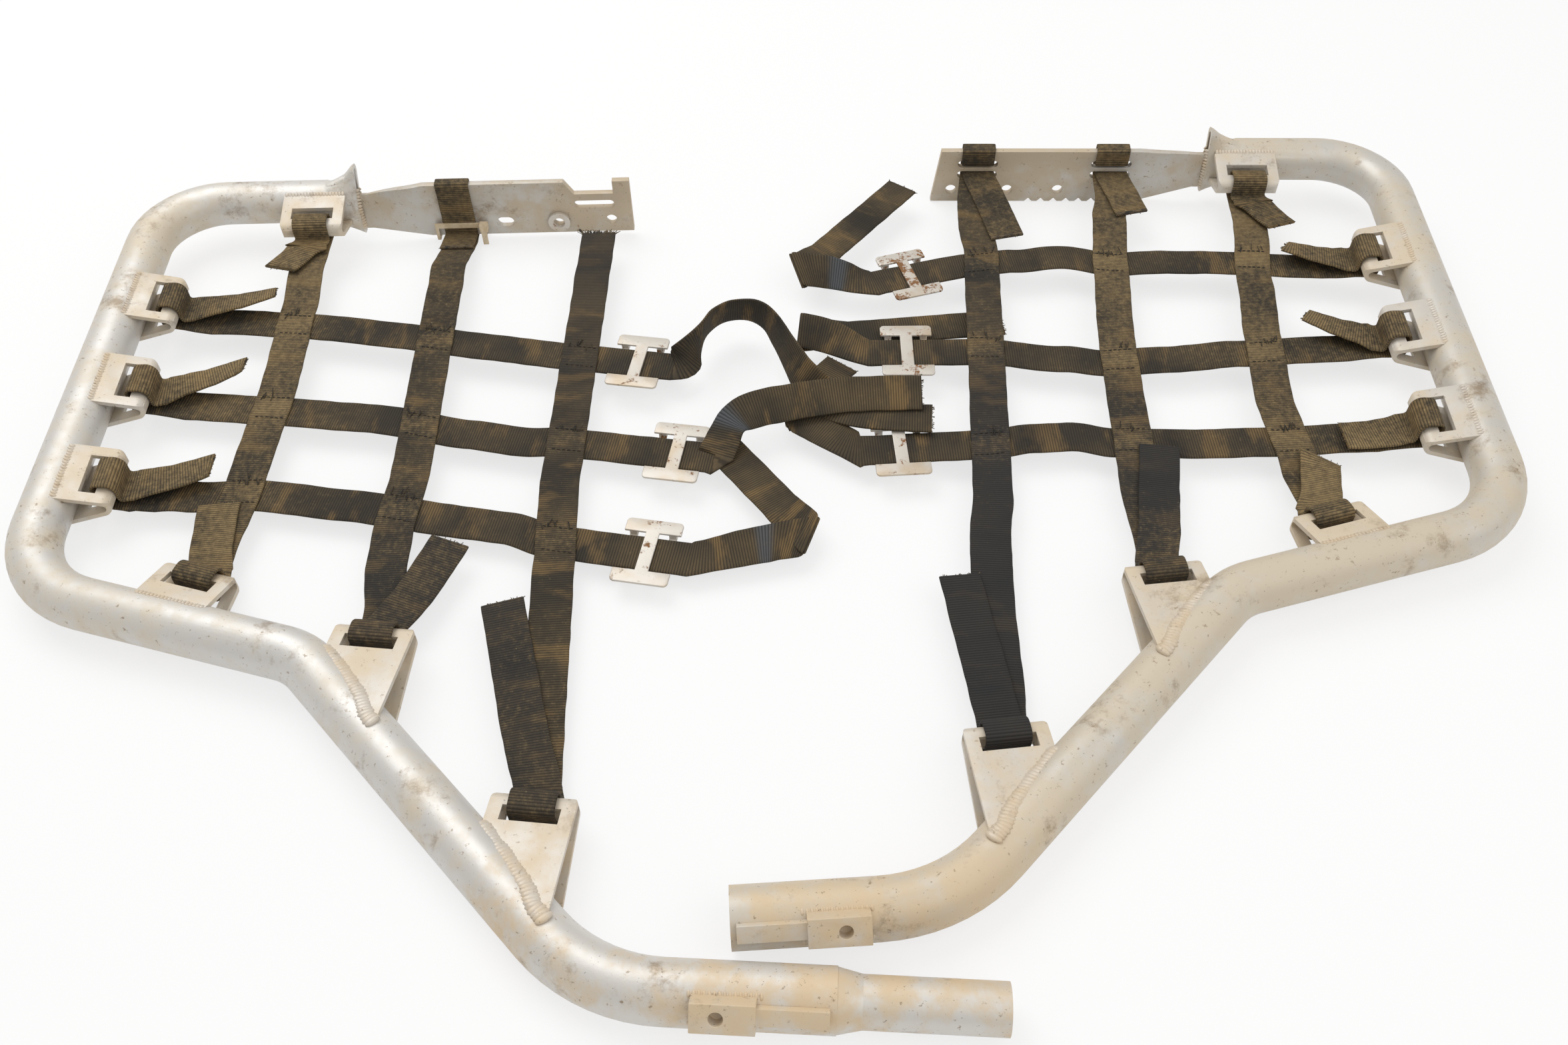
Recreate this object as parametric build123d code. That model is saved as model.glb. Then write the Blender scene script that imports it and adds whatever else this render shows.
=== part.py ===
from build123d import *
import math
import os

# A pair of quad-bike foot-well guards: bent tube bars, folded strap lugs, mount plates and webbing nets.
# Every piece is drawn in the bar frame and then placed: x inward, y rearward, z up, in millimetres.
# The origin of the bar frame is the outer rear corner of the tube centreline.
os.makedirs("parts", exist_ok=True)

# Bent tube
TUBE_R = 15.875
TUBE_WALL = 3.0
TOP_RUN_ANGLE = -1.7
OUTER_RUN = 371.0
KNEE = (178.5, -432.5)
FOOT = (348.4, -633.6)
END_RUN_ANGLE = -6.3
BEND_RADII = (49.0, 64.0, 45.0, 92.0)
END_RUN = {"left": 119.0, "right": 110.0}

# Crushed tube end that grips the mount plate
MOUTH_AT = {"left": 150.0, "right": 134.0}
CRUSH_LENGTH = 24.0
MOUTH_HEIGHT = 54.0
MOUTH_DROP = 3.0
MOUTH_LIP = 3.0
MOUTH_PINCH = 0.01

# Mount plate
PLATE_T = 5.0
PLATE_HEIGHT = 46.0
PLATE_SET_FORWARD = 6.0
PLATE_DROP = {"left": 5.5, "right": 11.0}
PLATE_END = {"left": 358.0, "right": 346.0}
NECK_HEIGHT = 28.0
NECK_IN_MOUTH = 3.0
NECK_DROP = 6.0
NECK_OUT = 7.0
NECK_FLARE = 44.0
PLATE_HOLE_R = 4.2
HOLE_RISE = 11.0

# Left plate: open hook, slot, oval and weld nut, measured along the plate from the tube corner
HOOK_STEP_AT = 308.0
HOOK_STEP_RUN = 7.0
HOOK_DEPTH = 11.0
HOOK_TOOTH = 13.0
HOOK_SLOT_AT = 329.5
HOOK_SLOT = (31.0, 7.0)
HOOK_SLOT_DROP = 20.5
OVAL_AT = 259.5
OVAL = (13.0, 8.5)
NUT_AT = 301.0
NUT_R = 8.5
NUT_T = 3.0
END_HOLE_AT = 341.5

# Right plate: two pairs of strap slots, three holes and a notched lower edge
STRAP_SLOT = (31.0, 6.0)
STRAP_SLOT_PITCH = 9.5
RIGHT_HOLES_AT = (246.0, 286.0, 330.5)
NOTCH_FIRST = 218.0
NOTCH_PITCH = 10.0
NOTCH_COUNT = 6
NOTCH_DEPTH = 3.0
NOTCH_WIDTH = 6.0
END_SLANT = 6.0

# Folded strap lugs, measured outward from the centre of the folded nose
LUG_T = 3.0
LUG_WIDTH = 46.0
NOSE_R = 6.0
NOSE_AT = 34.0
LUG_BITE = 4.0
LUG_ROOT = 4.0
LUG_CORNER = 5.0
WINDOW_WIDTH = 31.0
WINDOW_NEAR = 3.0
WINDOW_FAR = 12.5
OUTER_LUGS_Y = (-119.0, -204.0, -289.0)
TOP_LUG_AT = {"left": 120.0, "right": 107.0}
LOWER_LUG_AT = {"left": 103.0, "right": 108.0}
SLANT_NOSES = ((219.0, -421.0), (317.5, -536.0))
SLANT_ANGLE = 81.0
SLANT_LEAF = 84.0
SLANT_SPREAD = 9.0

# Frame tab on the end run
TAB_LENGTH = 31.0
TAB_FROM_END = 37.0
TAB_RISE = 7.0
TAB_HEIGHT = 15.0
TAB_LIFT = 40.0
TAB_ROOT = 4.0
TAB_HOLE_R = 3.5
TAB_HOLE_FROM_EDGE = 12.5
TONGUE_LENGTH = 34.0
TONGUE_RISE = 3.5
TONGUE_HEIGHT = 9.0

# Joining spigot of the left bar
SPIGOT_R = 12.7
SPIGOT_WALL = 3.0
SPIGOT_OUT = 81.0
SPIGOT_IN = 30.0
COLLAR_LENGTH = 12.0
COLLAR_R = 15.4

# Webbing
WEB_WIDTH = 25.4
WEB_T = 2.0
WEB_GAP = 0.3
LAYER_GAP = 0.2
CROSS_Z = -12.0
LONG_Z = CROSS_Z + WEB_T
LOOP_Z = 9.5
LOOP_BACK = 7.0
LOOP_FRONT = 8.0
LOOP_RADIUS = 4.0
SLOPE_END = 30.0
SLOPE_RADIUS = 12.0
TAIL_TIP_Z = -1.0
PLATE_FOLD_RADIUS = 1.6
PLATE_SLOPE_END = 62.0
JOIN = 6.0

# Slide buckles
BUCKLE_LENGTH = 36.0
BUCKLE_WIDTH = 50.0
BUCKLE_T = 1.6
BUCKLE_SLOT = 30.0
BUCKLE_BAR = 8.5
BUCKLE_OUTER_BAR = 5.0
BUCKLE_CORNER = 3.0
BUCKLE_LEG = 5.0

# Cable tie on the left bar
TIE_WIDTH = 4.0
TIE_T = 1.3
TIE_SPAN = 38.0
TIE_LEG = 2.5
TIE_RISE = 7.0
TIE_HEAD = 6.0
TIE_TAIL = 8.0

# Long straps, rear end first: where they meet the top run or the plate, and the turn and reach of the tails
LONG_REAR_X = {"left": (120.0, 224.0, 333.0), "right": (107.0, 207.0, 311.0)}
FRONT_TAIL_TURN = {"left": (-5.0, 26.0, -11.0), "right": (-7.0, -3.0, 9.0)}
FRONT_TAIL_REACH = {"left": (70.0, 78.0, 137.0), "right": (56.0, 106.0, 116.0)}
REAR_TAIL_TURN = {"left": -27.0, "right": -36.0}
REAR_TAIL_REACH = {"left": 41.0, "right": 43.0}
PLATE_TAIL_TURN = 18.0
RIGHT_PLATE_TAIL_REACH = (41.0, 64.0)
LEFT_PLATE_TAIL_REACH = 30.0
FREE_END_Y = -46.0
FREE_BEND = (316.5, -300.0)

# Cross straps: bend at the third long strap, buckle centre, turn and reach of the lug tails
BEND_X = 317.0
BEND_Y = {"left": (-179.0, -261.5, -346.5), "right": (-123.0, -219.5, -308.0)}
BUCKLE_X = {"left": (364.5, 391.0, 373.0), "right": (365.0, 367.0, 372.0)}
BUCKLE_Y = {"left": (-189.0, -277.0, -359.5), "right": (-140.0, -222.0, -314.0)}
CROSS_TAIL_TURN = {"left": (9.0, 19.0, 13.0), "right": (12.0, 20.0, -9.0)}
CROSS_TAIL_REACH = {"left": (73.0, 67.0, 56.0), "right": (49.0, 54.0, 55.0)}
TAIL_START = 28.0

# Loose tails past the buckles. Flat ones fold over once: fold point, tip and rise of the folded part
FOLDED = {
    "left": {2: ((473.0, -354.0), (437.0, -298.0), WEB_T)},
    "right": {
        0: ((446.0, -142.0), (369.0, -36.0), WEB_T),
        1: ((440.0, -207.0), (299.0, -183.0), -4.6),
        2: ((440.0, -292.0), (402.0, -248.0), WEB_T),
    },
}
# Standing ones follow knots: x, y and height above the cross straps, with a roll about their own length
CURLED = {
    "left": {
        0: ((396.0, -192.0, 3.0), (403.0, -184.0, 8.0), (413.0, -172.0, 11.5), (424.0, -158.0, 12.0),
            (438.0, -149.0, 12.0), (452.0, -149.0, 11.0), (464.0, -158.0, 9.0), (473.0, -174.0, 7.0),
            (481.0, -197.0, 5.2), (490.0, -222.0, 4.4), (503.0, -242.0, 4.4), (524.0, -254.0, 4.4),
            (560.0, -260.0, 4.4)),
        1: ((423.0, -277.0, 1.2), (430.0, -264.0, 3.2), (438.0, -250.0, 5.0), (452.0, -238.0, 6.2),
            (470.0, -231.0, 6.8), (495.0, -230.0, 6.8), (525.0, -233.0, 6.8), (555.0, -236.5, 6.8)),
    },
    "right": {},
}
CURL_ROLL = {
    0: (20.0, 65.0, 88.0, 90.0, 85.0, 70.0, 45.0, 20.0, 5.0, 0.0, 0.0, 0.0, 0.0),
    1: (4.0, 14.0, 18.0, 12.0, 4.0, 0.0, 0.0, 0.0),
}

# Where each bar lies on the floor; the two end runs pass each other by a lap
END_LAP = 66.2
BAR_STAGGER = 28.6
BAR_YAW = {"left": 2.2, "right": -3.7}
FLOOR_TILT = 1.65

UP = Vector(0, 0, 1)
PLATE_HALF = PLATE_HEIGHT / 2
FRONT = (0.0, -OUTER_RUN)
RUN = Location((0, 0, 0), (0, 0, TOP_RUN_ANGLE))


def heading(angle):
    """Plan direction at an angle in degrees from x."""
    return Vector(math.cos(math.radians(angle)), math.sin(math.radians(angle)), 0)


def angle_of(start, end):
    return math.degrees(math.atan2(end[1] - start[1], end[0] - start[0]))


def bent_path(points, radii):
    """Straight runs joined by tangent arcs, as a list of edges."""
    pieces = []
    start = Vector(points[0])
    for before, corner, after, radius in zip(points, points[1:], points[2:], radii):
        corner = Vector(corner)
        back = (Vector(before) - corner).normalized()
        ahead = (Vector(after) - corner).normalized()
        half = math.radians(back.get_angle(ahead)) / 2
        setback = radius / math.tan(half)
        middle = corner + (back + ahead).normalized() * (radius / math.sin(half) - radius)
        pieces.append(Line(start, corner + back * setback))
        pieces.append(ThreePointArc(corner + back * setback, middle, corner + ahead * setback))
        start = corner + ahead * setback
    pieces.append(Line(start, Vector(points[-1])))
    return pieces


def offset_corners(points, radii, shift):
    """Corner points and bend radii of a bent path moved sideways by shift."""
    along = [(Vector(b) - Vector(a)).normalized() for a, b in zip(points, points[1:])]
    normals = [Vector(-d.Y, d.X, 0) for d in along]
    moved = [Vector(points[0]) + normals[0] * shift]
    new_radii = []
    for point, radius, first, second in zip(points[1:], radii, normals, normals[1:]):
        moved.append(Vector(point) + (first + second) * (shift / (1 + first.dot(second))))
        new_radii.append(radius - math.copysign(shift, first.cross(second).Z * shift))
    moved.append(Vector(points[-1]) + normals[-1] * shift)
    return moved, new_radii


def band_face(points, radii, thickness):
    """Strip of constant thickness along a bent path in the XY plane."""
    left = bent_path(*offset_corners(points, radii, thickness / 2))
    right = bent_path(*offset_corners(points, radii, -thickness / 2))
    ends = [Line(left[0] @ 0, right[0] @ 0), Line(left[-1] @ 1, right[-1] @ 1)]
    return make_face(left + right + ends)


def web(points, radii, origin, run, across):
    """Webbing whose side view is a bent band along run, drawn out in the direction across."""
    plane = Plane(origin=origin, x_dir=run, z_dir=run.cross(UP))
    half = WEB_WIDTH / 2 / abs(across.dot(plane.z_dir))
    face = plane * band_face(points, radii, WEB_T)
    return extrude(face.moved(Location(across * -half)), amount=2 * half, dir=across)


def flat_band(start, end, z, start_cut=None, end_cut=None):
    """Flat piece of webbing in plan; each end may be cut along a given direction."""
    start = Vector(*start, 0)
    end = Vector(*end, 0)
    run = (end - start).normalized()
    side = Vector(-run.Y, run.X, 0) * (WEB_WIDTH / 2)
    corners = []
    for point, cut in ((start, start_cut), (end, end_cut)):
        for sign in (1, -1):
            slip = 0
            if cut is not None:
                slip = sign * WEB_WIDTH / 2 * cut.dot(run) / cut.dot(side.normalized())
            corners.append(point + side * sign + run * slip)
    outline = Polyline(corners[0], corners[1], corners[3], corners[2], close=True)
    return Pos(0, 0, z - WEB_T / 2) * extrude(make_face(outline), WEB_T, dir=UP)


def ribbon(knots):
    """Webbing that turns and rolls through knots of (point, roll)."""
    sections = []
    points = [point for point, roll in knots]
    for index, (point, roll) in enumerate(knots):
        before = points[max(index - 1, 0)]
        after = points[min(index + 1, len(points) - 1)]
        run = (after - before).normalized()
        level = UP.cross(run).normalized()
        across = level.rotate(Axis((0, 0, 0), run), roll)
        sections.append(Plane(origin=point, x_dir=across, z_dir=run) * Rectangle(WEB_WIDTH, WEB_T))
    return loft(sections, ruled=True)


def one(shape):
    """The single solid of a shape."""
    solids = shape.solids()
    return max(solids, key=lambda solid: solid.volume)


def tube_points(side):
    end = Vector(*FOOT, 0) + heading(END_RUN_ANGLE) * END_RUN[side]
    start = heading(TOP_RUN_ANGLE) * (MOUTH_AT[side] - CRUSH_LENGTH)
    return [start, Vector(0, 0, 0), Vector(*FRONT, 0), Vector(*KNEE, 0), Vector(*FOOT, 0), end]


def tube_core(side, edges, radius, slot_height, slot_width):
    """Solid along edges of the tube centreline, drawn out at the rear into the crushed mouth."""
    path = Wire(edges)
    swept = sweep(Plane(path @ 0, z_dir=path % 0) * Circle(radius), path=path)
    at_tube = RUN * Pos(MOUTH_AT[side] - CRUSH_LENGTH, 0, 0) * Rot(0, 90, 0) * Circle(radius)
    mouth = Pos(MOUTH_AT[side], -PLATE_SET_FORWARD, -MOUTH_DROP) * Rot(0, 90, 0)
    at_mouth = RUN * mouth * SlotOverall(slot_height, slot_width)
    return swept, loft([at_tube, at_mouth])


def tube(side):
    """Hollow tube of one bar, and the rod that it fills; the right one stops where its end socket starts."""
    edges = bent_path(tube_points(side), BEND_RADII)
    if side == "right":
        edges = edges[:-1]
    inside_height = MOUTH_HEIGHT - 2 * MOUTH_LIP
    outer, outer_mouth = tube_core(side, edges, TUBE_R, MOUTH_HEIGHT, PLATE_T + 2 * MOUTH_LIP)
    bore, bore_mouth = tube_core(side, edges, TUBE_R - TUBE_WALL, inside_height, PLATE_T - MOUTH_PINCH)
    return (outer - bore) + (outer_mouth - bore_mouth), outer + outer_mouth


def straight_end(side, radius):
    """Solid round bar along the straight end of the tube, past its last bend."""
    run = bent_path(tube_points(side), BEND_RADII)[-1]
    return extrude(Plane(origin=run @ 0, z_dir=run % 0) * Circle(radius), run.length)


def end_socket(side):
    """Straight open end of the tube, which takes the spigot of the other bar."""
    return straight_end(side, TUBE_R) - straight_end(side, TUBE_R - TUBE_WALL)


def plate_plane():
    """Plane of the plate's middle: local x along the plate, local y up."""
    forward = heading(TOP_RUN_ANGLE - 90)
    return Plane(origin=forward * PLATE_SET_FORWARD, x_dir=heading(TOP_RUN_ANGLE), z_dir=forward)


def plate_edges(side):
    middle = -PLATE_DROP[side]
    return middle - PLATE_HALF, middle + PLATE_HALF


def strap_slots():
    """Heights of the upper and the lower strap slot; the lower one takes two layers of the net's webbing."""
    lower = LONG_Z + (WEB_T + LAYER_GAP) / 2
    return lower + STRAP_SLOT_PITCH, lower


def mount_plate(side):
    bottom, top = plate_edges(side)
    neck_low = -NECK_DROP - NECK_HEIGHT / 2
    neck_high = -NECK_DROP + NECK_HEIGHT / 2
    neck_end = MOUTH_AT[side] + NECK_OUT
    full = neck_end + NECK_FLARE
    end = PLATE_END[side]
    inside = MOUTH_AT[side] - NECK_IN_MOUTH
    root = [(inside, neck_low), (inside, neck_high), (neck_end, neck_high), (full, top)]
    hole_z = bottom + HOLE_RISE
    if side == "left":
        step = HOOK_STEP_AT + HOOK_STEP_RUN
        tip = [(HOOK_STEP_AT, top), (step, top - HOOK_DEPTH), (end - HOOK_TOOTH, top - HOOK_DEPTH),
               (end - HOOK_TOOTH, top), (end, top), (end, bottom)]
        lower = [(full, bottom)]
        cuts = [Pos(HOOK_SLOT_AT, top - HOOK_SLOT_DROP) * SlotOverall(*HOOK_SLOT),
                Pos(OVAL_AT, hole_z) * SlotOverall(*OVAL),
                Pos(NUT_AT, hole_z) * Circle(PLATE_HOLE_R),
                Pos(END_HOLE_AT, hole_z) * Circle(PLATE_HOLE_R)]
    else:
        tip = [(end - END_SLANT, top), (end, bottom)]
        lower = []
        for index in reversed(range(NOTCH_COUNT)):
            notch = NOTCH_FIRST + NOTCH_PITCH * index
            lower += [(notch + NOTCH_WIDTH / 2, bottom), (notch, bottom + NOTCH_DEPTH),
                      (notch - NOTCH_WIDTH / 2, bottom)]
        lower.append((full, bottom))
        cuts = [Pos(x, z) * SlotOverall(*STRAP_SLOT) for x in LONG_REAR_X["right"][1:] for z in strap_slots()]
        cuts += [Pos(x, hole_z) * Circle(PLATE_HOLE_R) for x in RIGHT_HOLES_AT]
    outline = root + tip + lower + [(neck_end, neck_low)]
    face = make_face(Polyline(*outline, close=True))
    for cut in cuts:
        face -= cut
    return extrude(plate_plane() * face, PLATE_T / 2, both=True)


def weld_nut():
    bottom, top = plate_edges("left")
    ring = Circle(NUT_R) - Circle(PLATE_HOLE_R)
    plane = plate_plane()
    return extrude(plane * Pos(NUT_AT, bottom + HOLE_RISE, PLATE_T / 2) * ring, NUT_T, dir=plane.z_dir)


def hairpin(distance, far_radius, root):
    """Side view of a folded lug: nose at the origin, leaves spreading back to a circle at the tube."""
    at_tube = Pos(-distance, 0)
    outer = make_hull(Circle(NOSE_R).edges() + (at_tube * Circle(far_radius)).edges())
    inner = make_hull(Circle(NOSE_R - LUG_T).edges() + (at_tube * Circle(far_radius - LUG_T)).edges())
    keep = Rectangle(distance + NOSE_R - root, 4 * far_radius, align=(Align.MIN, Align.CENTER))
    return (outer - inner) & (Pos(root - distance, 0) * keep)


def lug(nose, outward, distance, far_radius, root, rod):
    """Folded lug with its nose at a plan point, facing outward (an angle in plan)."""
    profile = Plane.XZ * hairpin(distance, far_radius, root)
    body = extrude(profile, LUG_WIDTH / 2, both=True)
    length = 2 * distance + 2 * NOSE_R
    slab = Pos(NOSE_R - length / 2, 0, 0) * RectangleRounded(length, LUG_WIDTH, LUG_CORNER)
    body = body & extrude(slab, 2 * far_radius, both=True)
    window = (WINDOW_FAR - WINDOW_NEAR, WINDOW_WIDTH, 4 * far_radius)
    body -= Pos(-(WINDOW_FAR + WINDOW_NEAR) / 2, 0, 0) * Box(*window)
    placed = Location(Vector(*nose, 0), (0, 0, outward)) * body
    return placed - rod


def straight_lug(axis_point, outward, rod):
    nose = Vector(*axis_point, 0) + heading(outward) * NOSE_AT
    return one(lug((nose.X, nose.Y), outward, NOSE_AT, TUBE_R + LUG_T - LUG_BITE, LUG_ROOT, rod))


def slant_lug(nose, rod):
    far_radius = NOSE_R + SLANT_LEAF * math.sin(math.radians(SLANT_SPREAD))
    body = lug(nose, SLANT_ANGLE, SLANT_LEAF, far_radius, 0, rod)
    along = angle_of(KNEE, FOOT)
    beyond = Location(Vector(*KNEE, 0) + heading(along + 90) * LUG_ROOT, (0, 0, along))
    size = 4 * SLANT_LEAF
    body -= beyond * Box(2 * size, size, size, align=(Align.CENTER, Align.MAX, Align.CENTER))
    return one(body)


def lug_places(side):
    """Axis points and outward angles of the lugs that sit square to their tube."""
    top = heading(TOP_RUN_ANGLE) * TOP_LUG_AT[side]
    lower_angle = angle_of(FRONT, KNEE)
    lower = Vector(*FRONT, 0) + heading(lower_angle) * LOWER_LUG_AT[side]
    places = {"lug_top": ((top.X, top.Y), TOP_RUN_ANGLE - 90)}
    for index, y in enumerate(OUTER_LUGS_Y):
        places[f"lug_outer_{index + 1}"] = ((0.0, y), 0.0)
    places["lug_lower_1"] = ((lower.X, lower.Y), lower_angle + 90)
    return places


def lugs(side, rod):
    made = {}
    for name, (point, outward) in lug_places(side).items():
        made[name] = straight_lug(point, outward, rod)
    for index, nose in enumerate(SLANT_NOSES):
        made[f"lug_lower_{index + 2}"] = slant_lug(nose, rod)
    return made


def front_noses(side):
    """Nose points and outward angles of the three front lugs."""
    point, outward = lug_places(side)["lug_lower_1"]
    first = Vector(*point, 0) + heading(outward) * NOSE_AT
    return [((first.X, first.Y), outward)] + [(nose, SLANT_ANGLE) for nose in SLANT_NOSES]


def tab_frame(side):
    """Frame on the end run: x back from the tube end, z away from the tube toward the front and up."""
    end = tube_points(side)[-1]
    back = heading(END_RUN_ANGLE + 180)
    lift = math.radians(TAB_LIFT)
    out = heading(END_RUN_ANGLE - 90) * math.cos(lift) + UP * math.sin(lift)
    return Plane(origin=end, x_dir=back, z_dir=out)


def frame_tab(side, rod):
    block_top = TUBE_R + TAB_RISE
    tongue_top = TUBE_R + TONGUE_RISE
    low = TUBE_R - TAB_ROOT
    corner = (Align.MIN, Align.CENTER, Align.MIN)
    block = Pos(TAB_FROM_END, 0, low) * Box(TAB_LENGTH, TAB_HEIGHT, block_top - low, align=corner)
    tongue = Box(TONGUE_LENGTH, TONGUE_HEIGHT, tongue_top - low, align=corner)
    tongue = Pos(TAB_FROM_END - TONGUE_LENGTH, 0, low) * tongue
    hole_x = TAB_FROM_END + TAB_LENGTH - TAB_HOLE_FROM_EDGE
    hole = Pos(hole_x, 0, block_top) * Cylinder(TAB_HOLE_R, 2 * TAB_RISE)
    return one(tab_frame(side).location * (block + tongue - hole) - rod)


def spigot():
    end = tube_points("left")[-1]
    frame = Plane(origin=end, z_dir=heading(END_RUN_ANGLE)).location
    upward = (Align.CENTER, Align.CENTER, Align.MIN)
    pipe = Pos(0, 0, -SPIGOT_IN) * Cylinder(SPIGOT_R, SPIGOT_IN + SPIGOT_OUT, align=upward)
    collar = Cone(COLLAR_R, SPIGOT_R, COLLAR_LENGTH, align=upward)
    bore = Cylinder(SPIGOT_R - SPIGOT_WALL, 4 * SPIGOT_OUT)
    return frame * (pipe + collar - bore)


def anchor(nose, outward, run):
    """Point over the lug nose from which webbing along run passes through the middle of the window."""
    across = heading(outward + 90)
    return Vector(*nose, 0) + across * (LOOP_BACK * run.dot(across))


def lug_end(nose, outward, run, length, level):
    """Webbing from a loop round a lug nose along run for a length, lying at height level."""
    points = [(length, level), (SLOPE_END, level), (LOOP_FRONT, -LOOP_Z), (-LOOP_BACK, -LOOP_Z),
              (-LOOP_BACK, LOOP_Z), (LOOP_FRONT + JOIN, LOOP_Z)]
    radii = (SLOPE_RADIUS, SLOPE_RADIUS, LOOP_RADIUS, LOOP_RADIUS)
    return web(points, radii, anchor(nose, outward, run), run, heading(outward + 90))


def lug_tail(nose, outward, run, length):
    """Loose tail that leaves the top of a lug loop along run."""
    points = [(0, LOOP_Z), (LOOP_FRONT + JOIN / 2, LOOP_Z), (length, TAIL_TIP_Z)]
    return web(points, (SLOPE_RADIUS,), Vector(*nose, 0), run, heading(outward + 90))


def plate_end(side, x, run, length, tail):
    """Webbing from the net that goes round the plate, on the right bar threaded through its two slots."""
    bottom, top = plate_edges(side)
    origin = RUN * Pos(x, -PLATE_SET_FORWARD, 0)
    across = heading(TOP_RUN_ANGLE)
    face = PLATE_T / 2 + WEB_GAP + WEB_T / 2
    edge = WEB_GAP + WEB_T / 2
    fold = PLATE_FOLD_RADIUS
    if side == "left":
        climb = (LONG_Z - bottom + edge) / (PLATE_SLOPE_END - face - JOIN)
        tail_z = LONG_Z - climb * (PLATE_SLOPE_END - tail) + WEB_T + 2 * LAYER_GAP
        points = [(length, LONG_Z), (PLATE_SLOPE_END, LONG_Z), (face + JOIN, bottom - edge),
                  (-face, bottom - edge), (-face, top + edge), (face, top + edge), (face, bottom + WEB_T),
                  (tail, tail_z)]
        radii = [SLOPE_RADIUS, SLOPE_RADIUS / 2, fold, fold, fold, fold]
        return web(points, radii, origin.position, run, across)
    outer = face + WEB_T + LAYER_GAP
    tail_z = LONG_Z + WEB_T + LAYER_GAP
    upper, lower = strap_slots()
    points = [(length, LONG_Z), (-outer, LONG_Z), (-outer, top + edge), (face, top + edge), (face, upper),
              (-face, upper), (-face, tail_z), (face + JOIN, tail_z)]
    loop = web(points, [fold] * 6, origin.position, run, across)
    tail_run = heading(math.degrees(math.atan2(run.Y, run.X)) - PLATE_TAIL_TURN)
    return loop + web([(face, tail_z), (tail, tail_z)], (), origin.position, tail_run, across)


def long_strap(side, index):
    """Strap from a front lug to the top lug, to the plate or to its own free end."""
    nose, outward = front_noses(side)[index]
    tail_run = heading(90 - FRONT_TAIL_TURN[side][index])
    tail = lug_tail(nose, outward, tail_run, FRONT_TAIL_REACH[side][index])
    if side == "left" and index == 2:
        run = heading(angle_of(nose, FREE_BEND))
        length = (Vector(*FREE_BEND) - Vector(*nose)).length
        upper = flat_band(FREE_BEND, (LONG_REAR_X[side][index], FREE_END_Y), LONG_Z)
        return lug_end(nose, outward, run, length + JOIN, LONG_Z) + upper + tail
    if index == 0:
        point, rear_outward = lug_places(side)["lug_top"]
        rear = Vector(*point, 0) + heading(rear_outward) * NOSE_AT
    else:
        rear = (RUN * Pos(LONG_REAR_X[side][index], -PLATE_SET_FORWARD, 0)).position
    run = (rear - Vector(*nose, 0)).normalized()
    span = rear - anchor(nose, outward, run)
    if index == 0:
        span = anchor((rear.X, rear.Y), rear_outward, -run) - anchor(nose, outward, run)
    run = span.normalized()
    length = span.length / 2 + JOIN
    strap = lug_end(nose, outward, run, length, LONG_Z) + tail
    if index == 0:
        rear_nose = (rear.X, rear.Y)
        strap += lug_end(rear_nose, rear_outward, -run, length, LONG_Z)
        tail_run = heading(-90 + REAR_TAIL_TURN[side])
        return strap + lug_tail(rear_nose, rear_outward, tail_run, REAR_TAIL_REACH[side])
    rear_tail = LEFT_PLATE_TAIL_REACH if side == "left" else RIGHT_PLATE_TAIL_REACH[index - 1]
    return strap + plate_end(side, LONG_REAR_X[side][index], -run, length, rear_tail)


def buckle_frame(side, index):
    """Centre point and plan angle of a buckle."""
    centre = (BUCKLE_X[side][index], BUCKLE_Y[side][index])
    return centre, angle_of((BEND_X, BEND_Y[side][index]), centre)


def cross_strap(side, index):
    """Strap from an outer lug, under the long straps, through its buckle and on as a loose tail."""
    nose = (NOSE_AT, OUTER_LUGS_Y[index])
    bend = (BEND_X, BEND_Y[side][index])
    run = heading(angle_of(nose, bend))
    length = (Vector(*bend) - Vector(*nose)).length
    strap = lug_end(nose, 0, run, length + JOIN / 2, CROSS_Z)
    strap += lug_tail(nose, 0, heading(CROSS_TAIL_TURN[side][index]), CROSS_TAIL_REACH[side][index])
    centre, angle = buckle_frame(side, index)
    start = Vector(*bend, 0) - heading(angle) * (JOIN / 2)
    finish = Vector(*centre, 0) + heading(angle) * TAIL_START
    strap += flat_band((start.X, start.Y), (finish.X, finish.Y), CROSS_Z)
    begin = finish - heading(angle) * (JOIN / 2)
    if index in CURLED[side]:
        knots = [(Vector(begin.X, begin.Y, CROSS_Z), 0.0)]
        for (x, y, rise), roll in zip(CURLED[side][index], CURL_ROLL[index]):
            knots.append((Vector(x, y, CROSS_Z + rise), roll))
        return strap + ribbon(knots)
    fold, tip, rise = FOLDED[side][index]
    first = heading(angle_of((begin.X, begin.Y), fold))
    second = heading(angle_of(fold, tip))
    crease = (first + second).normalized()
    strap += flat_band((begin.X, begin.Y), fold, CROSS_Z, end_cut=crease)
    strap += flat_band(fold, tip, CROSS_Z + rise, start_cut=crease)
    crease_length = WEB_WIDTH / abs(crease.cross(first).Z)
    crease_angle = math.degrees(math.atan2(crease.Y, crease.X))
    strip = Box(crease_length, WEB_T, abs(rise) + WEB_T)
    return strap + Location(Vector(*fold, CROSS_Z + rise / 2), (0, 0, crease_angle)) * strip


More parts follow.
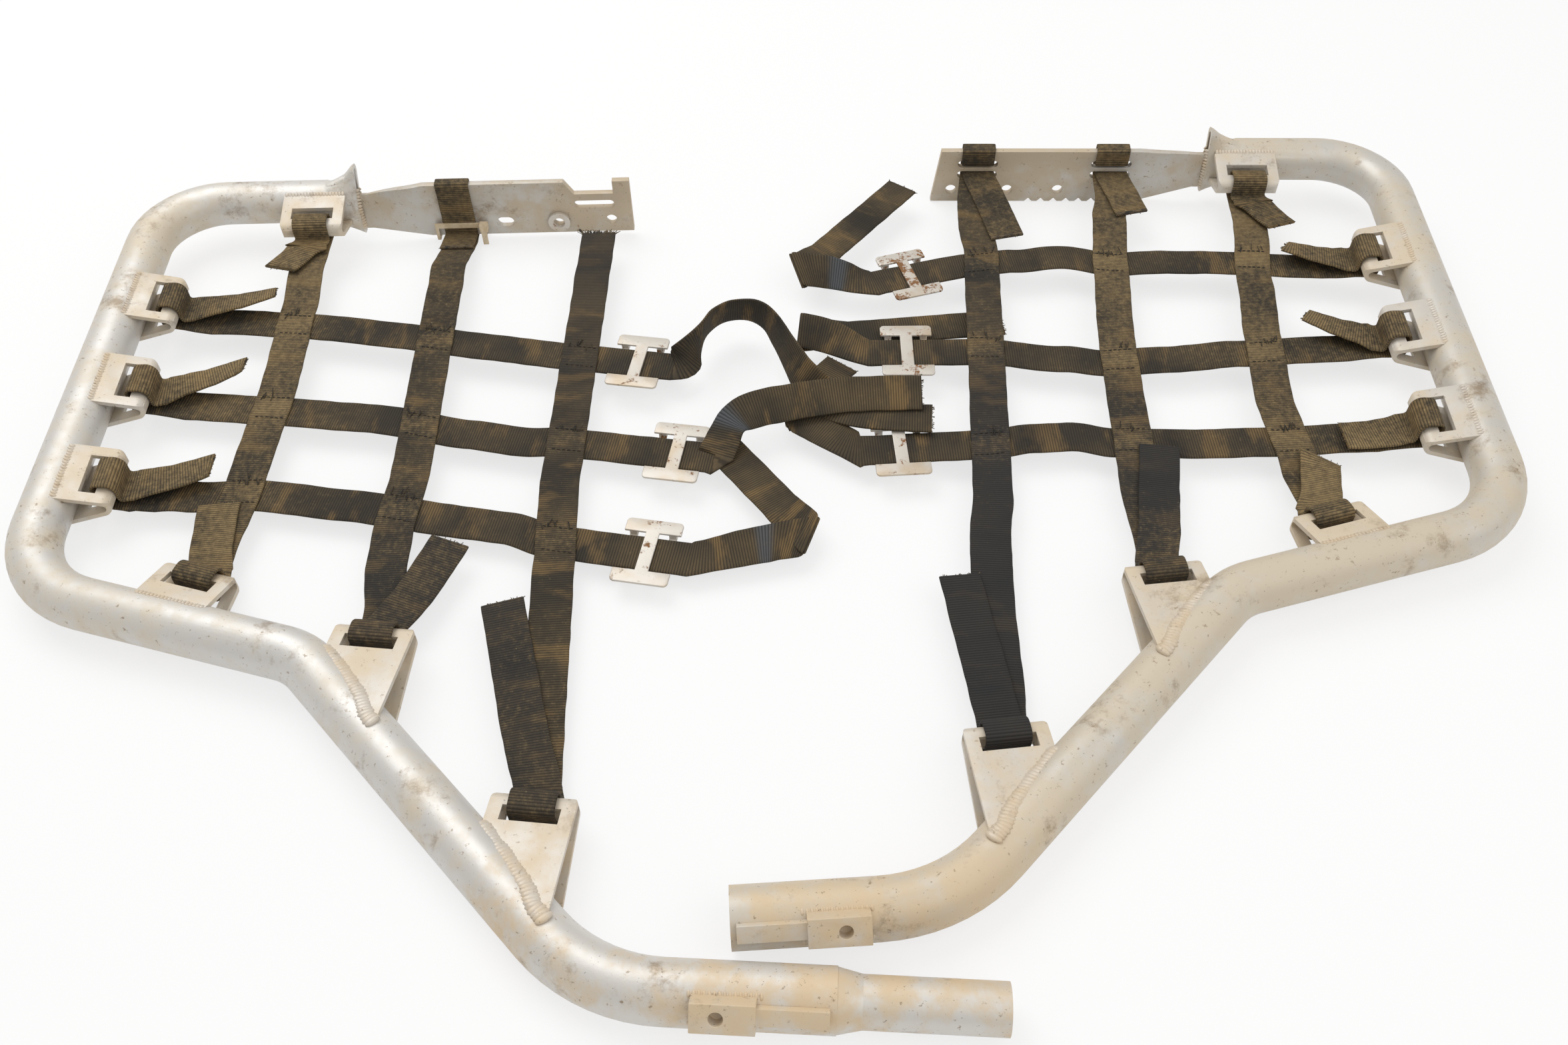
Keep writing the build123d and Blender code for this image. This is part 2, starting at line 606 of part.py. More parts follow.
def buckle(side, index):
    """Two-slot slide: middle bar over the strap, end bars under it."""
    high = WEB_T / 2 + WEB_GAP
    opening = (BUCKLE_LENGTH - BUCKLE_BAR) / 2
    plate = RectangleRounded(BUCKLE_LENGTH, BUCKLE_WIDTH, BUCKLE_CORNER)
    for sign in (1, -1):
        plate -= Pos(sign * (BUCKLE_BAR + opening) / 2, 0) * Rectangle(opening, BUCKLE_SLOT)
    body = extrude(Pos(0, 0, high) * plate, BUCKLE_T, dir=UP)
    bar_at = (BUCKLE_LENGTH - BUCKLE_OUTER_BAR) / 2 - BUCKLE_CORNER
    leg_at = (BUCKLE_SLOT + BUCKLE_LEG) / 2
    for sign in (1, -1):
        bar = Box(BUCKLE_OUTER_BAR, BUCKLE_SLOT + 2 * BUCKLE_LEG, BUCKLE_T)
        body += Pos(sign * bar_at, 0, -high - BUCKLE_T / 2) * bar
        for hand in (1, -1):
            body += Pos(sign * bar_at, hand * leg_at, 0) * Box(BUCKLE_OUTER_BAR, BUCKLE_LEG, 2 * high)
    centre, angle = buckle_frame(side, index)
    return Location(Vector(*centre, CROSS_Z), (0, 0, angle)) * body


def cable_tie():
    """Tie across the strap on the front of the left plate, closed under the plate's lower edge."""
    bottom, top = plate_edges("left")
    frame = RUN * Pos(LONG_REAR_X["left"][1], -PLATE_SET_FORWARD, 0)
    face = PLATE_T / 2 + WEB_GAP + WEB_T + LAYER_GAP
    low = bottom - WEB_GAP - TIE_T
    front = Pos(0, -face - TIE_T / 2, bottom + TIE_RISE + TIE_WIDTH) * Box(TIE_SPAN, TIE_T, TIE_WIDTH)
    back = Pos(0, face + TIE_T / 2, low + TIE_WIDTH / 2) * Box(TIE_SPAN, TIE_T, TIE_WIDTH)
    tie = front + back
    leg_top = bottom + TIE_RISE + TIE_WIDTH * 1.5
    for sign in (1, -1):
        x = sign * (TIE_SPAN - TIE_LEG) / 2
        tie += Pos(x, -face - TIE_T / 2, (low + leg_top) / 2) * Box(TIE_LEG, TIE_T, leg_top - low)
        tie += Pos(x, 0, low + TIE_T / 2) * Box(TIE_LEG, 2 * (face + TIE_T), TIE_T)
    head_z = bottom + TIE_RISE + TIE_WIDTH
    tie += Pos(TIE_SPAN / 2, -face - TIE_HEAD / 2, head_z) * Box(TIE_HEAD, TIE_HEAD, TIE_HEAD)
    tail_at = (TIE_SPAN / 2, -face - TIE_HEAD, head_z - TIE_HEAD / 2 - TIE_TAIL / 2)
    tie += Pos(*tail_at) * Box(TIE_WIDTH, TIE_T, TIE_TAIL + TIE_HEAD)
    return frame * tie


def bar_pieces(side):
    """Every piece of one bar in the bar frame, by name."""
    tube_body, rod = tube(side)
    rod += straight_end(side, TUBE_R)
    pieces = {"tube": tube_body, "plate": mount_plate(side), "frame_tab": frame_tab(side, rod)}
    pieces.update(lugs(side, rod))
    for index in range(3):
        pieces[f"long_strap_{index + 1}"] = long_strap(side, index)
        pieces[f"cross_strap_{index + 1}"] = cross_strap(side, index)
        pieces[f"buckle_{index + 1}"] = buckle(side, index)
    if side == "left":
        pieces["spigot"] = spigot()
        pieces["weld_nut"] = weld_nut()
        pieces["cable_tie"] = cable_tie()
    else:
        pieces["end_socket"] = end_socket(side)
    return pieces


def bar_spread():
    """Distance between the outer corners of the two bars, from the reach of their end runs."""
    reach = 2 * FOOT[0] + heading(END_RUN_ANGLE).X * (END_RUN["left"] + SPIGOT_OUT + END_RUN["right"])
    return reach - END_LAP


def lay(shape, side):
    """Place a piece of one bar on the floor beside the other bar."""
    if side == "left":
        spot = Location((-bar_spread() / 2, 0, 0), (0, 0, BAR_YAW[side]))
        return Rot(FLOOR_TILT, 0, 0) * spot * shape
    spot = Location((bar_spread() / 2, BAR_STAGGER, 0), (0, 0, BAR_YAW[side]))
    return Rot(FLOOR_TILT, 0, 0) * spot * shape.mirror(Plane.YZ)


laid = {}
for bar_side in ("left", "right"):
    for piece_name, piece in bar_pieces(bar_side).items():
        laid[f"{bar_side}_{piece_name}"] = lay(piece, bar_side)

box = Compound(children=[one(piece) for piece in laid.values()]).bounding_box()
to_origin = Pos(-(box.min.X + box.max.X) / 2, -(box.min.Y + box.max.Y) / 2, -box.min.Z)
for node_name, piece in laid.items():
    export_step(to_origin * piece, f"parts/{node_name}.step")
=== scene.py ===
import math
import random
from collections import namedtuple

import bmesh
import bpy
from mathutils import Matrix, Vector, noise


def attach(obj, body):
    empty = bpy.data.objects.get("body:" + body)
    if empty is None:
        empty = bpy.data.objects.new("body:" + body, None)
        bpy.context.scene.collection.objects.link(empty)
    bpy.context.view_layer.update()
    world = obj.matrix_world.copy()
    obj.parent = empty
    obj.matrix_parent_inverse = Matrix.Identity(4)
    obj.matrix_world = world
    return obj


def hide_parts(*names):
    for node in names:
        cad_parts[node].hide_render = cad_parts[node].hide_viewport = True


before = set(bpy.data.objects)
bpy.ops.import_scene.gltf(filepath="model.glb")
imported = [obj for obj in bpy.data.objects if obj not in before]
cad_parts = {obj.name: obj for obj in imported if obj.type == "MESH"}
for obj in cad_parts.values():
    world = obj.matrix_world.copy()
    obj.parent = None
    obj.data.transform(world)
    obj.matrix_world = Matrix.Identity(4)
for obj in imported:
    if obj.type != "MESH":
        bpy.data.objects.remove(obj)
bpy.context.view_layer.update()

# Sizes in millimetres in the bar frame, the same as the part's: x inward, y rearward, z up
MM = 0.001
TUBE_R = 15.875
TOP_RUN_ANGLE = -1.7
FRONT = (0.0, -371.0)
KNEE = (178.5, -432.5)
FOOT = (348.4, -633.6)
END_RUN_ANGLE = -6.3
END_RUN = {"left": 119.0, "right": 110.0}
MOUTH_AT = {"left": 150.0, "right": 134.0}
PLATE_T = 5.0
PLATE_HALF = 23.0
PLATE_SET_FORWARD = 6.0
PLATE_DROP = {"left": 5.5, "right": 11.0}
STRAP_SLOT_PITCH = 9.5
LUG_WIDTH = 46.0
LUG_ROOT = 4.0
NOSE_AT = 34.0
NOSE_R = 6.0
OUTER_LUGS_Y = (-119.0, -204.0, -289.0)
TOP_LUG_AT = {"left": 120.0, "right": 107.0}
LOWER_LUG_AT = {"left": 103.0, "right": 108.0}
SLANT_NOSES = ((219.0, -421.0), (317.5, -536.0))
SLANT_ANGLE = 81.0
SLANT_LEAF = 84.0
SLANT_SPREAD = 9.0
MOUTH_DROP = 3.0
CRUSH_LENGTH = 24.0
TAB_LIFT = 40.0
TAB_FROM_END = 37.0
TAB_LENGTH = 31.0
TAB_HEIGHT = 15.0

# Crushed tube mouths: lean rearward, growth above and below the axis, and the fin that stands on the lip
MOUTH_LEAN = {"left": 24.0, "right": 13.0}
LEAN_FROM = -10.0
LEAN_OVER = 20.0
MOUTH_STRETCH = 0.10
MOUTH_SHRINK = 0.20
FIN_RISE = {"left": 4.0, "right": 2.0}
FIN_RUN = 9.0
FIN_FROM = 12.0
FIN_OVER = 13.0
NECK_TWIST = 46.0
NECK_CUTS = 13

# Webbing, as in the part but for its ribs and the tails at the plates
WEB_WIDTH = 25.4
WEB_T = 2.0
RIB_PITCH = 1.7
WEB_GAP = 0.3
LAYER_GAP = 0.2
CROSS_Z = -12.0
LONG_Z = CROSS_Z + WEB_T
LOOP_Z = 9.5
LOOP_BACK = 7.0
LOOP_FRONT = 8.0
LOOP_RADIUS = 4.0
NOSE_RADIUS = 6.4
EXIT_RADIUS = 2.6
LEAVE_RADIUS = 8.0
JOIN = 6.0
SLOPE_END = 30.0
SLOPE_RADIUS = 12.0
PLATE_SLOPE_END = 62.0
PLATE_FOLD_RADIUS = 1.6
PLATE_JOIN_RADIUS = 6.0
LONG_REAR_X = {"left": (120.0, 224.0, 333.0), "right": (107.0, 207.0, 311.0)}
LEFT_PLATE_TAIL = 30.0
RIGHT_PLATE_TAIL = (54.0, 84.0)
PLATE_TAIL_TURN = 14.0
FREE_BEND = (316.5, -300.0)
FREE_BEND_RADIUS = 200.0
FREE_END = (333.0, -46.0)
BEND_X = 317.0
NET_BEND_RADIUS = 150.0
BEND_Y = {"left": (-179.0, -261.5, -346.5), "right": (-123.0, -219.5, -308.0)}
BUCKLE_X = {"left": (364.5, 391.0, 373.0), "right": (365.0, 367.0, 372.0)}
BUCKLE_Y = {"left": (-189.0, -277.0, -359.5), "right": (-140.0, -222.0, -314.0)}
TAIL_START = 28.0
# How near its own level a strap counts as lying in the net or on another, and how far past its bend
NET_BAND = 1.5
CROSSING_BAND = 1.2
PAST_BEND = 20.0
# Uneven edges, the limit on how a slanted cut widens, and how the map keeps straps and faces apart
EDGE_FUZZ = 0.35
FUZZ_RATE = 0.11
EDGE_WANDER = 0.5
WANDER_RATE = 0.05
SLANT_LIMIT = 0.4
MAP_ALONG = 1.7
MAP_ACROSS = 0.3
MAP_FACE = 0.05
# Bends between straight runs: half angle that counts as straight, share of a run and angle of a step
STRAIGHT_HALF = math.radians(89.5)
BEND_SHARE = 0.49
BEND_STEP = math.radians(14)

# Loose tails at the lugs: turn in plan, reach, roll at the tip, sideways hook of the tip and slant of its cut
FRONT_TAILS = {
    "left": ((-5.0, 66.0, 4.0, -1.0, 4.0), (26.0, 82.0, 4.0, 3.0, 0.0), (-11.0, 144.0, 4.0, 2.0, 4.0)),
    "right": ((-7.0, 58.0, -4.0, 2.0, 20.0), (-7.0, 112.0, 2.0, 0.0, 0.0), (9.0, 116.0, -4.0, -2.0, 0.0)),
}
REAR_TAILS = {"left": (-20.0, 42.0, 5.0, -6.0, 14.0), "right": (-20.0, 45.0, 6.0, -6.0, 8.0)}
CROSS_TAILS = {
    "left": ((3.0, 70.0, -26.0, 8.0, 0.0), (12.0, 65.0, -23.0, 9.0, -18.0), (6.0, 60.0, -14.0, 9.0, -16.0)),
    "right": ((5.0, 56.0, -22.0, 7.0, 10.0), (12.0, 58.0, -22.0, 9.0, 0.0), (-12.0, 52.0, -6.0, 3.0, 4.0)),
}
# Sideways pull of the net where its straps are sewn together: place along the strap, shift
BOWS = {
    "left_cross_strap_1": ((50, 0), (95, 4), (150, 6), (190, 5), (260, 2), (316, 0)),
    "left_cross_strap_2": ((50, 0), (95, 2), (150, 4), (190, 5), (255, -1), (290, -3), (316, 0)),
    "left_cross_strap_3": ((50, 2), (80, 6), (130, 13), (190, 12), (260, 8), (285, 7), (316, 0)),
    "right_cross_strap_1": ((50, 0), (72, 1), (140, 4), (175, 4), (215, 1), (252, 8), (285, 3), (316, 0)),
    "right_cross_strap_2": ((50, 0), (72, -1), (140, -5), (190, -10), (228, -13), (260, -8), (316, 0)),
    "right_cross_strap_3": ((50, 0), (140, -3), (172, -3.4), (230, -1), (262, 5.5), (285, 4.5), (316, 0)),
    "left_long_strap_1": ((-350, 0), (-290, 5), (-200, 7), (-120, 4), (-70, 0)),
    "left_long_strap_2": ((-395, 0), (-360, -4), (-330, -4), (-285, 0)),
    "right_long_strap_1": ((-365, 0), (-320, 7), (-260, 13), (-200, 11), (-140, 7), (-66, 0)),
    "right_long_strap_2": ((-395, 0), (-345, 5), (-310, 6), (-252, 8), (-200, 9), (-120, 7), (-70, 4),
                           (-40, 0)),
    "right_long_strap_3": ((-500, 0), (-440, 2.5), (-390, 2.5), (-350, -0.5), (-112, -0.5), (-80, 3),
                           (-50, 3), (-12, 0)),
}
# Heights of a loose tail as it leaves the lug and as it lies, how soon it lies, and its bends: share, radius
TAIL_EXIT_Z = -5.0
TAIL_LIE_Z = -7.6
TAIL_SETTLE = 1.6
TAIL_BENDS = ((1.0, 0.0), (0.86, 40.0), (0.64, 60.0), (0.42, 60.0))
# Tails at the right plate: share of the reach, rise and bend radius
PLATE_TAIL_BENDS = ((0.6, 0.8, 60.0), (1.0, 0.2, 0.0))
PLATE_TAIL_RADIUS = 20.0
# Folded tails past the buckles: fold point, tip, rise past the fold, tilt of the first leg, dip of the tip
FOLDED = {
    "left": {2: ((473.0, -354.0), (421.0, -270.0), 2.3, 14.0, -4.4)},
    "right": {
        0: ((446.0, -142.0), (369.0, -28.0), -2.6, 30.0, 0.0),
        1: ((440.0, -207.0), (299.0, -183.0), -4.6, 26.0, 0.0),
        2: ((448.0, -283.0), (412.0, -233.0), -2.3, 4.0, 0.0),
    },
}
# How a folded tail tips up, turns into its crease and lies flat again, by its share of a leg
TIP_UP = ((0.0, 0.0), (0.75, 1.0), (1.0, 1.0))
INTO_CREASE = ((0.45, 0.0), (1.0, 1.0))
TURN_RATE = 3
LEG_PITCH = 2.0
FOLD_STEPS = 8
FLAT_AFTER = 34.0
FLAT_SHARE = 0.5
LIFT_LEFT = 0.4
# Standing tails of the left bar: x, y, height above the cross straps, roll
CURLED = {
    0: ((396.0, -192.0, 3.0, 30.0), (402.0, -186.0, 7.6, 72.0), (409.0, -175.0, 11.0, 96.0),
        (416.0, -162.0, 12.2, 103.0), (428.0, -153.0, 12.4, 107.0), (442.0, -152.0, 12.2, 104.0),
        (453.0, -159.0, 12.0, 92.0), (461.0, -174.0, 11.6, 80.0), (469.0, -197.0, 11.0, 73.0),
        (479.0, -222.0, 9.0, 56.0), (495.0, -242.0, 5.4, 20.0), (522.0, -254.0, 4.4, 0.0),
        (560.0, -260.0, 4.4, 0.0)),
    1: ((421.0, -271.0, 4.0, -8.0), (425.0, -263.0, 7.4, -14.0), (430.0, -257.0, 9.4, 2.0),
        (438.0, -252.5, 11.0, 20.0), (450.0, -249.0, 11.8, 28.0), (464.0, -246.0, 11.8, 26.0),
        (485.0, -242.5, 11.4, 24.0), (506.0, -240.5, 11.2, 22.0), (530.0, -240.5, 11.0, 21.0),
        (555.0, -241.5, 10.8, 19.0)),
}

# Weld beads: spacing, and the least and most of their length, breadth and height
BEAD_PITCH = 2.3
BEAD_SMALL = (0.46, 0.88, 0.34)
BEAD_LARGE = (0.58, 1.08, 0.46)
BEAD_SEED = 5
WELD_STEPS = 14
# Welds at the lugs: half breadth, inset from the lug's sides and seat on the tube; the slanted by up and down
LUG_BEAD = 2.6
LUG_BEAD_INSET = 4.0
WELD_OUT = 9.6
WELD_SINK = 0.99
SLANT_BEAD = {1: 4.8, -1: 2.4}
SLANT_SINK = {1: 0.2, -1: 1.2}
SLANT_BEAD_INSET = 3.0
SLANT_FACING = 0.5
# Welds at the mouths and tabs
MOUTH_BEAD = 2.4
MOUTH_WELD_FROM = -19.0
MOUTH_WELD_RISE = 30.0
MOUTH_WELD_OFF = 0.6
TAB_BEAD = 2.0
TAB_BEAD_BEFORE = 2.0
TAB_BEAD_AFTER = 1.0
TAB_BEAD_SINK = 0.3
# Stitches at the crossings, and the loose thread ends beside them
THREAD_R = 0.32
STITCHES = 6
STITCH_PITCH = 3.4
STITCH_ROW = 9.4
STITCH_LENGTH = 0.62 * STITCH_PITCH
STITCH_SKEW = (-0.2, 0.2)
STITCH_ARCH = 0.25
STITCH_LIFT = 0.1
LOOSE_ENDS = (4, 8)
LOOSE_ASIDE = (-9, 9)
LOOSE_ALONG = (5, 12)
LOOSE_SKEW = (-0.55, 0.55)
LOOSE_RISE = (0.05, 0.3)
LOOSE_LENGTH = (3.0, 6.5)
LOOSE_ARCH = 0.4
SEWING_SEED = {"left": 11, "right": 12}
# Fibres at the cut ends, longer and more on the worn end
FIBRE_R = 0.24
TIP_FIBRES = 22
WORN_FIBRES = 150
TIP_LENGTH = (1.2, 2.6)
WORN_LENGTH = (2.0, 5.0)
WORN_CORNER = 0.86
WORN_CORNER_LENGTH = 2.5
FIBRE_ACROSS = (-0.97, 0.97)
FIBRE_LEVEL = (-0.7, 0.7)
FIBRE_SPREAD = (-0.5, 0.5)
FIBRE_RISE = (-0.15, 0.25)
FIBRE_ROOT = 0.8
FIBRE_ARCH = 0.3
CORNER_FROM = 0.8
CORNER_SPREAD = 0.9
FRAY_SEED = {"left": 21, "right": 22}
# Rolled hems at the plates: radius, inset and the line across the strap as share of its half width, rise
HEM_R = 1.35
HEM_EDGE = 0.4
HEM_INSET = 0.9
HEM_LINE = ((-1.0, 0.0), (-0.3, 0.2), (0.4, 0.0), (1.0, 0.0))

# Where each bar lies: its outer corner in the pair's frame, its yaw, and the tilt of the pair on the floor
FLOOR_TILT = 1.65
CORNER = {"left": (-468.737, 299.803, 33.965), "right": (469.991, 328.392, 34.789)}
BAR_YAW = {"left": 2.2, "right": -3.7}
# The camera of the photograph, in metres, degrees and millimetres of film
CAMERA_PLACE = (0.00173, -0.59234, 0.64813)
CAMERA_DIP = 48.062
CAMERA_ROLL = -1.117
CAMERA_SENSOR = 36.0
CAMERA_LENS = 31.471
CAMERA_NEAR = 0.02
# Studio: size, power and place of each lamp, the sky and the floor
LAMPS = {"key": (1.6, 26.0, (-0.7, 0.9, 1.9)), "fill": (2.2, 16.0, (1.2, -0.9, 1.8))}
SKY_COLOUR = (1.0, 0.985, 0.965, 1)
SKY_STRENGTH = 0.55
FLOOR_HALF = 6
FLOOR_COLOUR = (0.86, 0.86, 0.86, 1)
FLOOR_GLOW = 0.72
# Colours of the metal, and where the ochre stain begins and is full, in metres along the floor
GRIME = (0.27, 0.19, 0.11)
DARK_NICK = (0.10, 0.075, 0.050)
OCHRE = (0.66, 0.50, 0.31)
OCHRE_REACH = (-0.21, -0.30)
PALE_STEEL = (0.60, 0.56, 0.50)
TARNISH = (0.52, 0.41, 0.28)
RUST = (0.22, 0.105, 0.040)
# Colours of the webbing
MUD_DARK = (0.046, 0.037, 0.024)
MUD_PALE = (0.116, 0.083, 0.043)
GOLD_STREAK = (0.205, 0.132, 0.055)
DEEP_SHADOW = (0.018, 0.016, 0.013)
CLEAN_BLACK = (0.027, 0.028, 0.030)
SLATE = (0.085, 0.093, 0.102)
TAN_DUST = (0.300, 0.212, 0.100)
PALE_GRIT = (0.50, 0.38, 0.20)
RIB_SHADE = (0.009, 0.008, 0.007)
UP = Vector((0, 0, 1))
SIDES = ("left", "right")


def lay(side):
    """Matrix from the bar frame in millimetres to the pair's frame in metres."""
    turn = Matrix.Rotation(math.radians(FLOOR_TILT), 4, "X")
    turn = turn @ Matrix.Rotation(math.radians(BAR_YAW[side]), 4, "Z")
    if side == "right":
        turn = turn @ Matrix.Diagonal((-1, 1, 1, 1))
    return Matrix.Scale(MM, 4) @ Matrix.Translation(CORNER[side]) @ turn


LAY = {side: lay(side) for side in SIDES}


def heading(angle):
    """Level unit vector at an angle in degrees."""
    return Vector((math.cos(math.radians(angle)), math.sin(math.radians(angle)), 0))


def angle_of(start, end):
    """Angle in plan, in degrees, from one point to another."""
    return math.degrees(math.atan2(end[1] - start[1], end[0] - start[0]))


def bearing(run):
    """Angle in plan, in degrees, of a direction."""
    return math.degrees(math.atan2(run.y, run.x))


def flat(point, z=0.0):
    """Point in plan, set at a height."""
    return Vector((point[0], point[1], z))


TOP_RUN = heading(TOP_RUN_ANGLE)
TOP_FORWARD = heading(TOP_RUN_ANGLE - 90)
LOWER_ANGLE = angle_of(FRONT, KNEE)


def placed(name, data):
    """New object in the scene for a mesh, a lamp or a camera."""
    thing = bpy.data.objects.new(name, data)
    bpy.context.scene.collection.objects.link(thing)
    return thing


def piece_of(grid, name, finish):
    """New object for an edited mesh, with its finish."""
    mesh = bpy.data.meshes.new(name)
    grid.to_mesh(mesh)
    grid.free()
    mesh.materials.append(finish)
    return placed(name, mesh)


# Finishes
class Finish:
    """Small helper that builds one procedural material."""

    def __init__(self, name, roughness=0.5):
        """New material with its shader and the coordinates of its piece."""
        self.material = bpy.data.materials.new(name)
        self.material.use_nodes = True
        self.nodes = self.material.node_tree.nodes
        self.links = self.material.node_tree.links
        self.shader = self.nodes["Principled BSDF"]
        self.shader.inputs["Roughness"].default_value = roughness
        self.place = self.nodes.new("ShaderNodeTexCoord")

    def put(self, socket, value):
        """Set a socket to a number or a colour, or link another socket to it."""
        if isinstance(value, (int, float)):
            socket.default_value = value
        elif isinstance(value, (tuple, list)):
            socket.default_value = (*value, 1.0) if len(socket.default_value) == 4 else value
        else:
            self.links.new(value, socket)

    def cloud(self, scale, detail, rough, where=None, stretch=None):
        """Noise from 0 to 1 at a scale per metre, with its detail and how rough that is."""
        node = self.nodes.new("ShaderNodeTexNoise")
        node.inputs["Scale"].default_value = scale
        node.inputs["Detail"].default_value = detail
        node.inputs["Roughness"].default_value = rough
        source = where or self.place.outputs["Object"]
        if stretch:
            mapping = self.nodes.new("ShaderNodeMapping")
            mapping.inputs["Scale"].default_value = stretch
            self.links.new(source, mapping.inputs["Vector"])
            source = mapping.outputs["Vector"]
        self.links.new(source, node.inputs["Vector"])
        return node.outputs["Fac"]

    def ramp(self, value, low, high, start=0.0, end=1.0):
        """Smooth step of a value between low and high."""
        node = self.nodes.new("ShaderNodeMapRange")
        node.interpolation_type = "SMOOTHSTEP"
        self.put(node.inputs["Value"], value)
        node.inputs["From Min"].default_value = low
        node.inputs["From Max"].default_value = high
        node.inputs["To Min"].default_value = start
        node.inputs["To Max"].default_value = end
        return node.outputs["Result"]

    def math(self, kind, first, second=0.0):
        """One calculation on one or two values or sockets."""
        node = self.nodes.new("ShaderNodeMath")
        node.operation = kind
        self.put(node.inputs[0], first)
        self.put(node.inputs[1], second)
        return node.outputs[0]

    def blend_of(self, first, first_share, second, second_share):
        """Weighted sum of two sockets."""
        first_part = self.math("MULTIPLY", first, first_share)
        return self.math("ADD", first_part, self.math("MULTIPLY", second, second_share))

    def mix(self, amount, first, second):
        """Colour between two, by an amount from 0 to 1."""
        node = self.nodes.new("ShaderNodeMix")
        node.data_type = "RGBA"
        self.put(node.inputs[0], amount)
        self.put(node.inputs[6], first)
        self.put(node.inputs[7], second)
        return node.outputs[2]

    def bump(self, height, strength, distance, under=None):
        """Normal for fine relief, over another if one is given."""
        node = self.nodes.new("ShaderNodeBump")
        node.inputs["Strength"].default_value = strength
        node.inputs["Distance"].default_value = distance
        self.put(node.inputs["Height"], height)
        if under is not None:
            self.links.new(under, node.inputs["Normal"])
        return node.outputs["Normal"]

    def shade(self, **sockets):
        """Set the shader's sockets and return the material."""
        for name, value in sockets.items():
            self.put(self.shader.inputs[name.replace("_", " ")], value)
        return self.material


def dusty_aluminium(name, bare, dust, dusted_share, metal, specked):
    """Worn satin aluminium under dried dust, ochre at the front ends, with smears, specks and pitting."""
    finish = Finish(name)
    broad = finish.cloud(9.0, 5.0, 0.6)
    fine = finish.cloud(70.0, 6.0, 0.65)
    mottled = finish.blend_of(broad, 0.65, fine, 0.35)
    dusted = finish.ramp(mottled, 0.62 - 0.3 * dusted_share, 0.82 - 0.3 * dusted_share)
    colour = finish.mix(dusted, bare, dust)
    spot = finish.nodes.new("ShaderNodeSeparateXYZ")
    finish.links.new(finish.place.outputs["Object"], spot.inputs[0])
    toward_end = finish.ramp(spot.outputs[1], *OCHRE_REACH)
    stained = finish.math("MULTIPLY", toward_end, finish.ramp(mottled, 0.43, 0.60, 0.05, 0.75))
    colour = finish.mix(stained, colour, OCHRE)
    smear = finish.cloud(26.0, 8.0, 0.74)
    colour = finish.mix(finish.ramp(smear, 0.545, 0.70, 0.0, specked), colour, GRIME)
    specks = finish.cloud(240.0, 5.0, 0.7)
    colour = finish.mix(finish.ramp(specks, 0.615, 0.69, 0.0, specked), colour, GRIME)
    nicks = finish.cloud(620.0, 2.0, 0.5)
    colour = finish.mix(finish.ramp(nicks, 0.70, 0.75, 0.0, 0.7 * specked), colour, DARK_NICK)
    roughness = finish.ramp(mottled, 0.3, 0.7, 0.40, 0.60)
    metallic = finish.math("SUBTRACT", metal, finish.math("MULTIPLY", dusted, metal * 0.6))
    pits = finish.bump(finish.cloud(900.0, 3.0, 0.6), 0.25, 0.0002)
    dents = finish.bump(fine, 0.25, 0.0008, pits)
    return finish.shade(Base_Color=colour, Roughness=roughness, Metallic=metallic, Normal=dents)


def stained_steel(name, rust=0.0):
    """Pale plated steel, browned in patches and rusting in blotches, the more the higher rust is."""
    finish = Finish(name)
    blotch = finish.cloud(85.0, 6.0, 0.68)
    fine = finish.cloud(520.0, 4.0, 0.6)
    tarnish = finish.ramp(finish.cloud(38.0, 4.0, 0.5), 0.42, 0.66, 0.0, 0.8)
    colour = finish.mix(tarnish, PALE_STEEL, TARNISH)
    rusted = finish.ramp(finish.blend_of(blotch, 0.72, fine, 0.28), 0.555 - rust, 0.625 - rust)
    colour = finish.mix(rusted, colour, RUST)
    roughness = finish.math("ADD", 0.42, finish.math("MULTIPLY", rusted, 0.45))
    metallic = finish.math("SUBTRACT", 0.30, finish.math("MULTIPLY", rusted, 0.28))
    rough_skin = finish.bump(fine, 0.3, 0.0003)
    return finish.shade(Base_Color=colour, Roughness=roughness, Metallic=metallic, Normal=rough_skin)


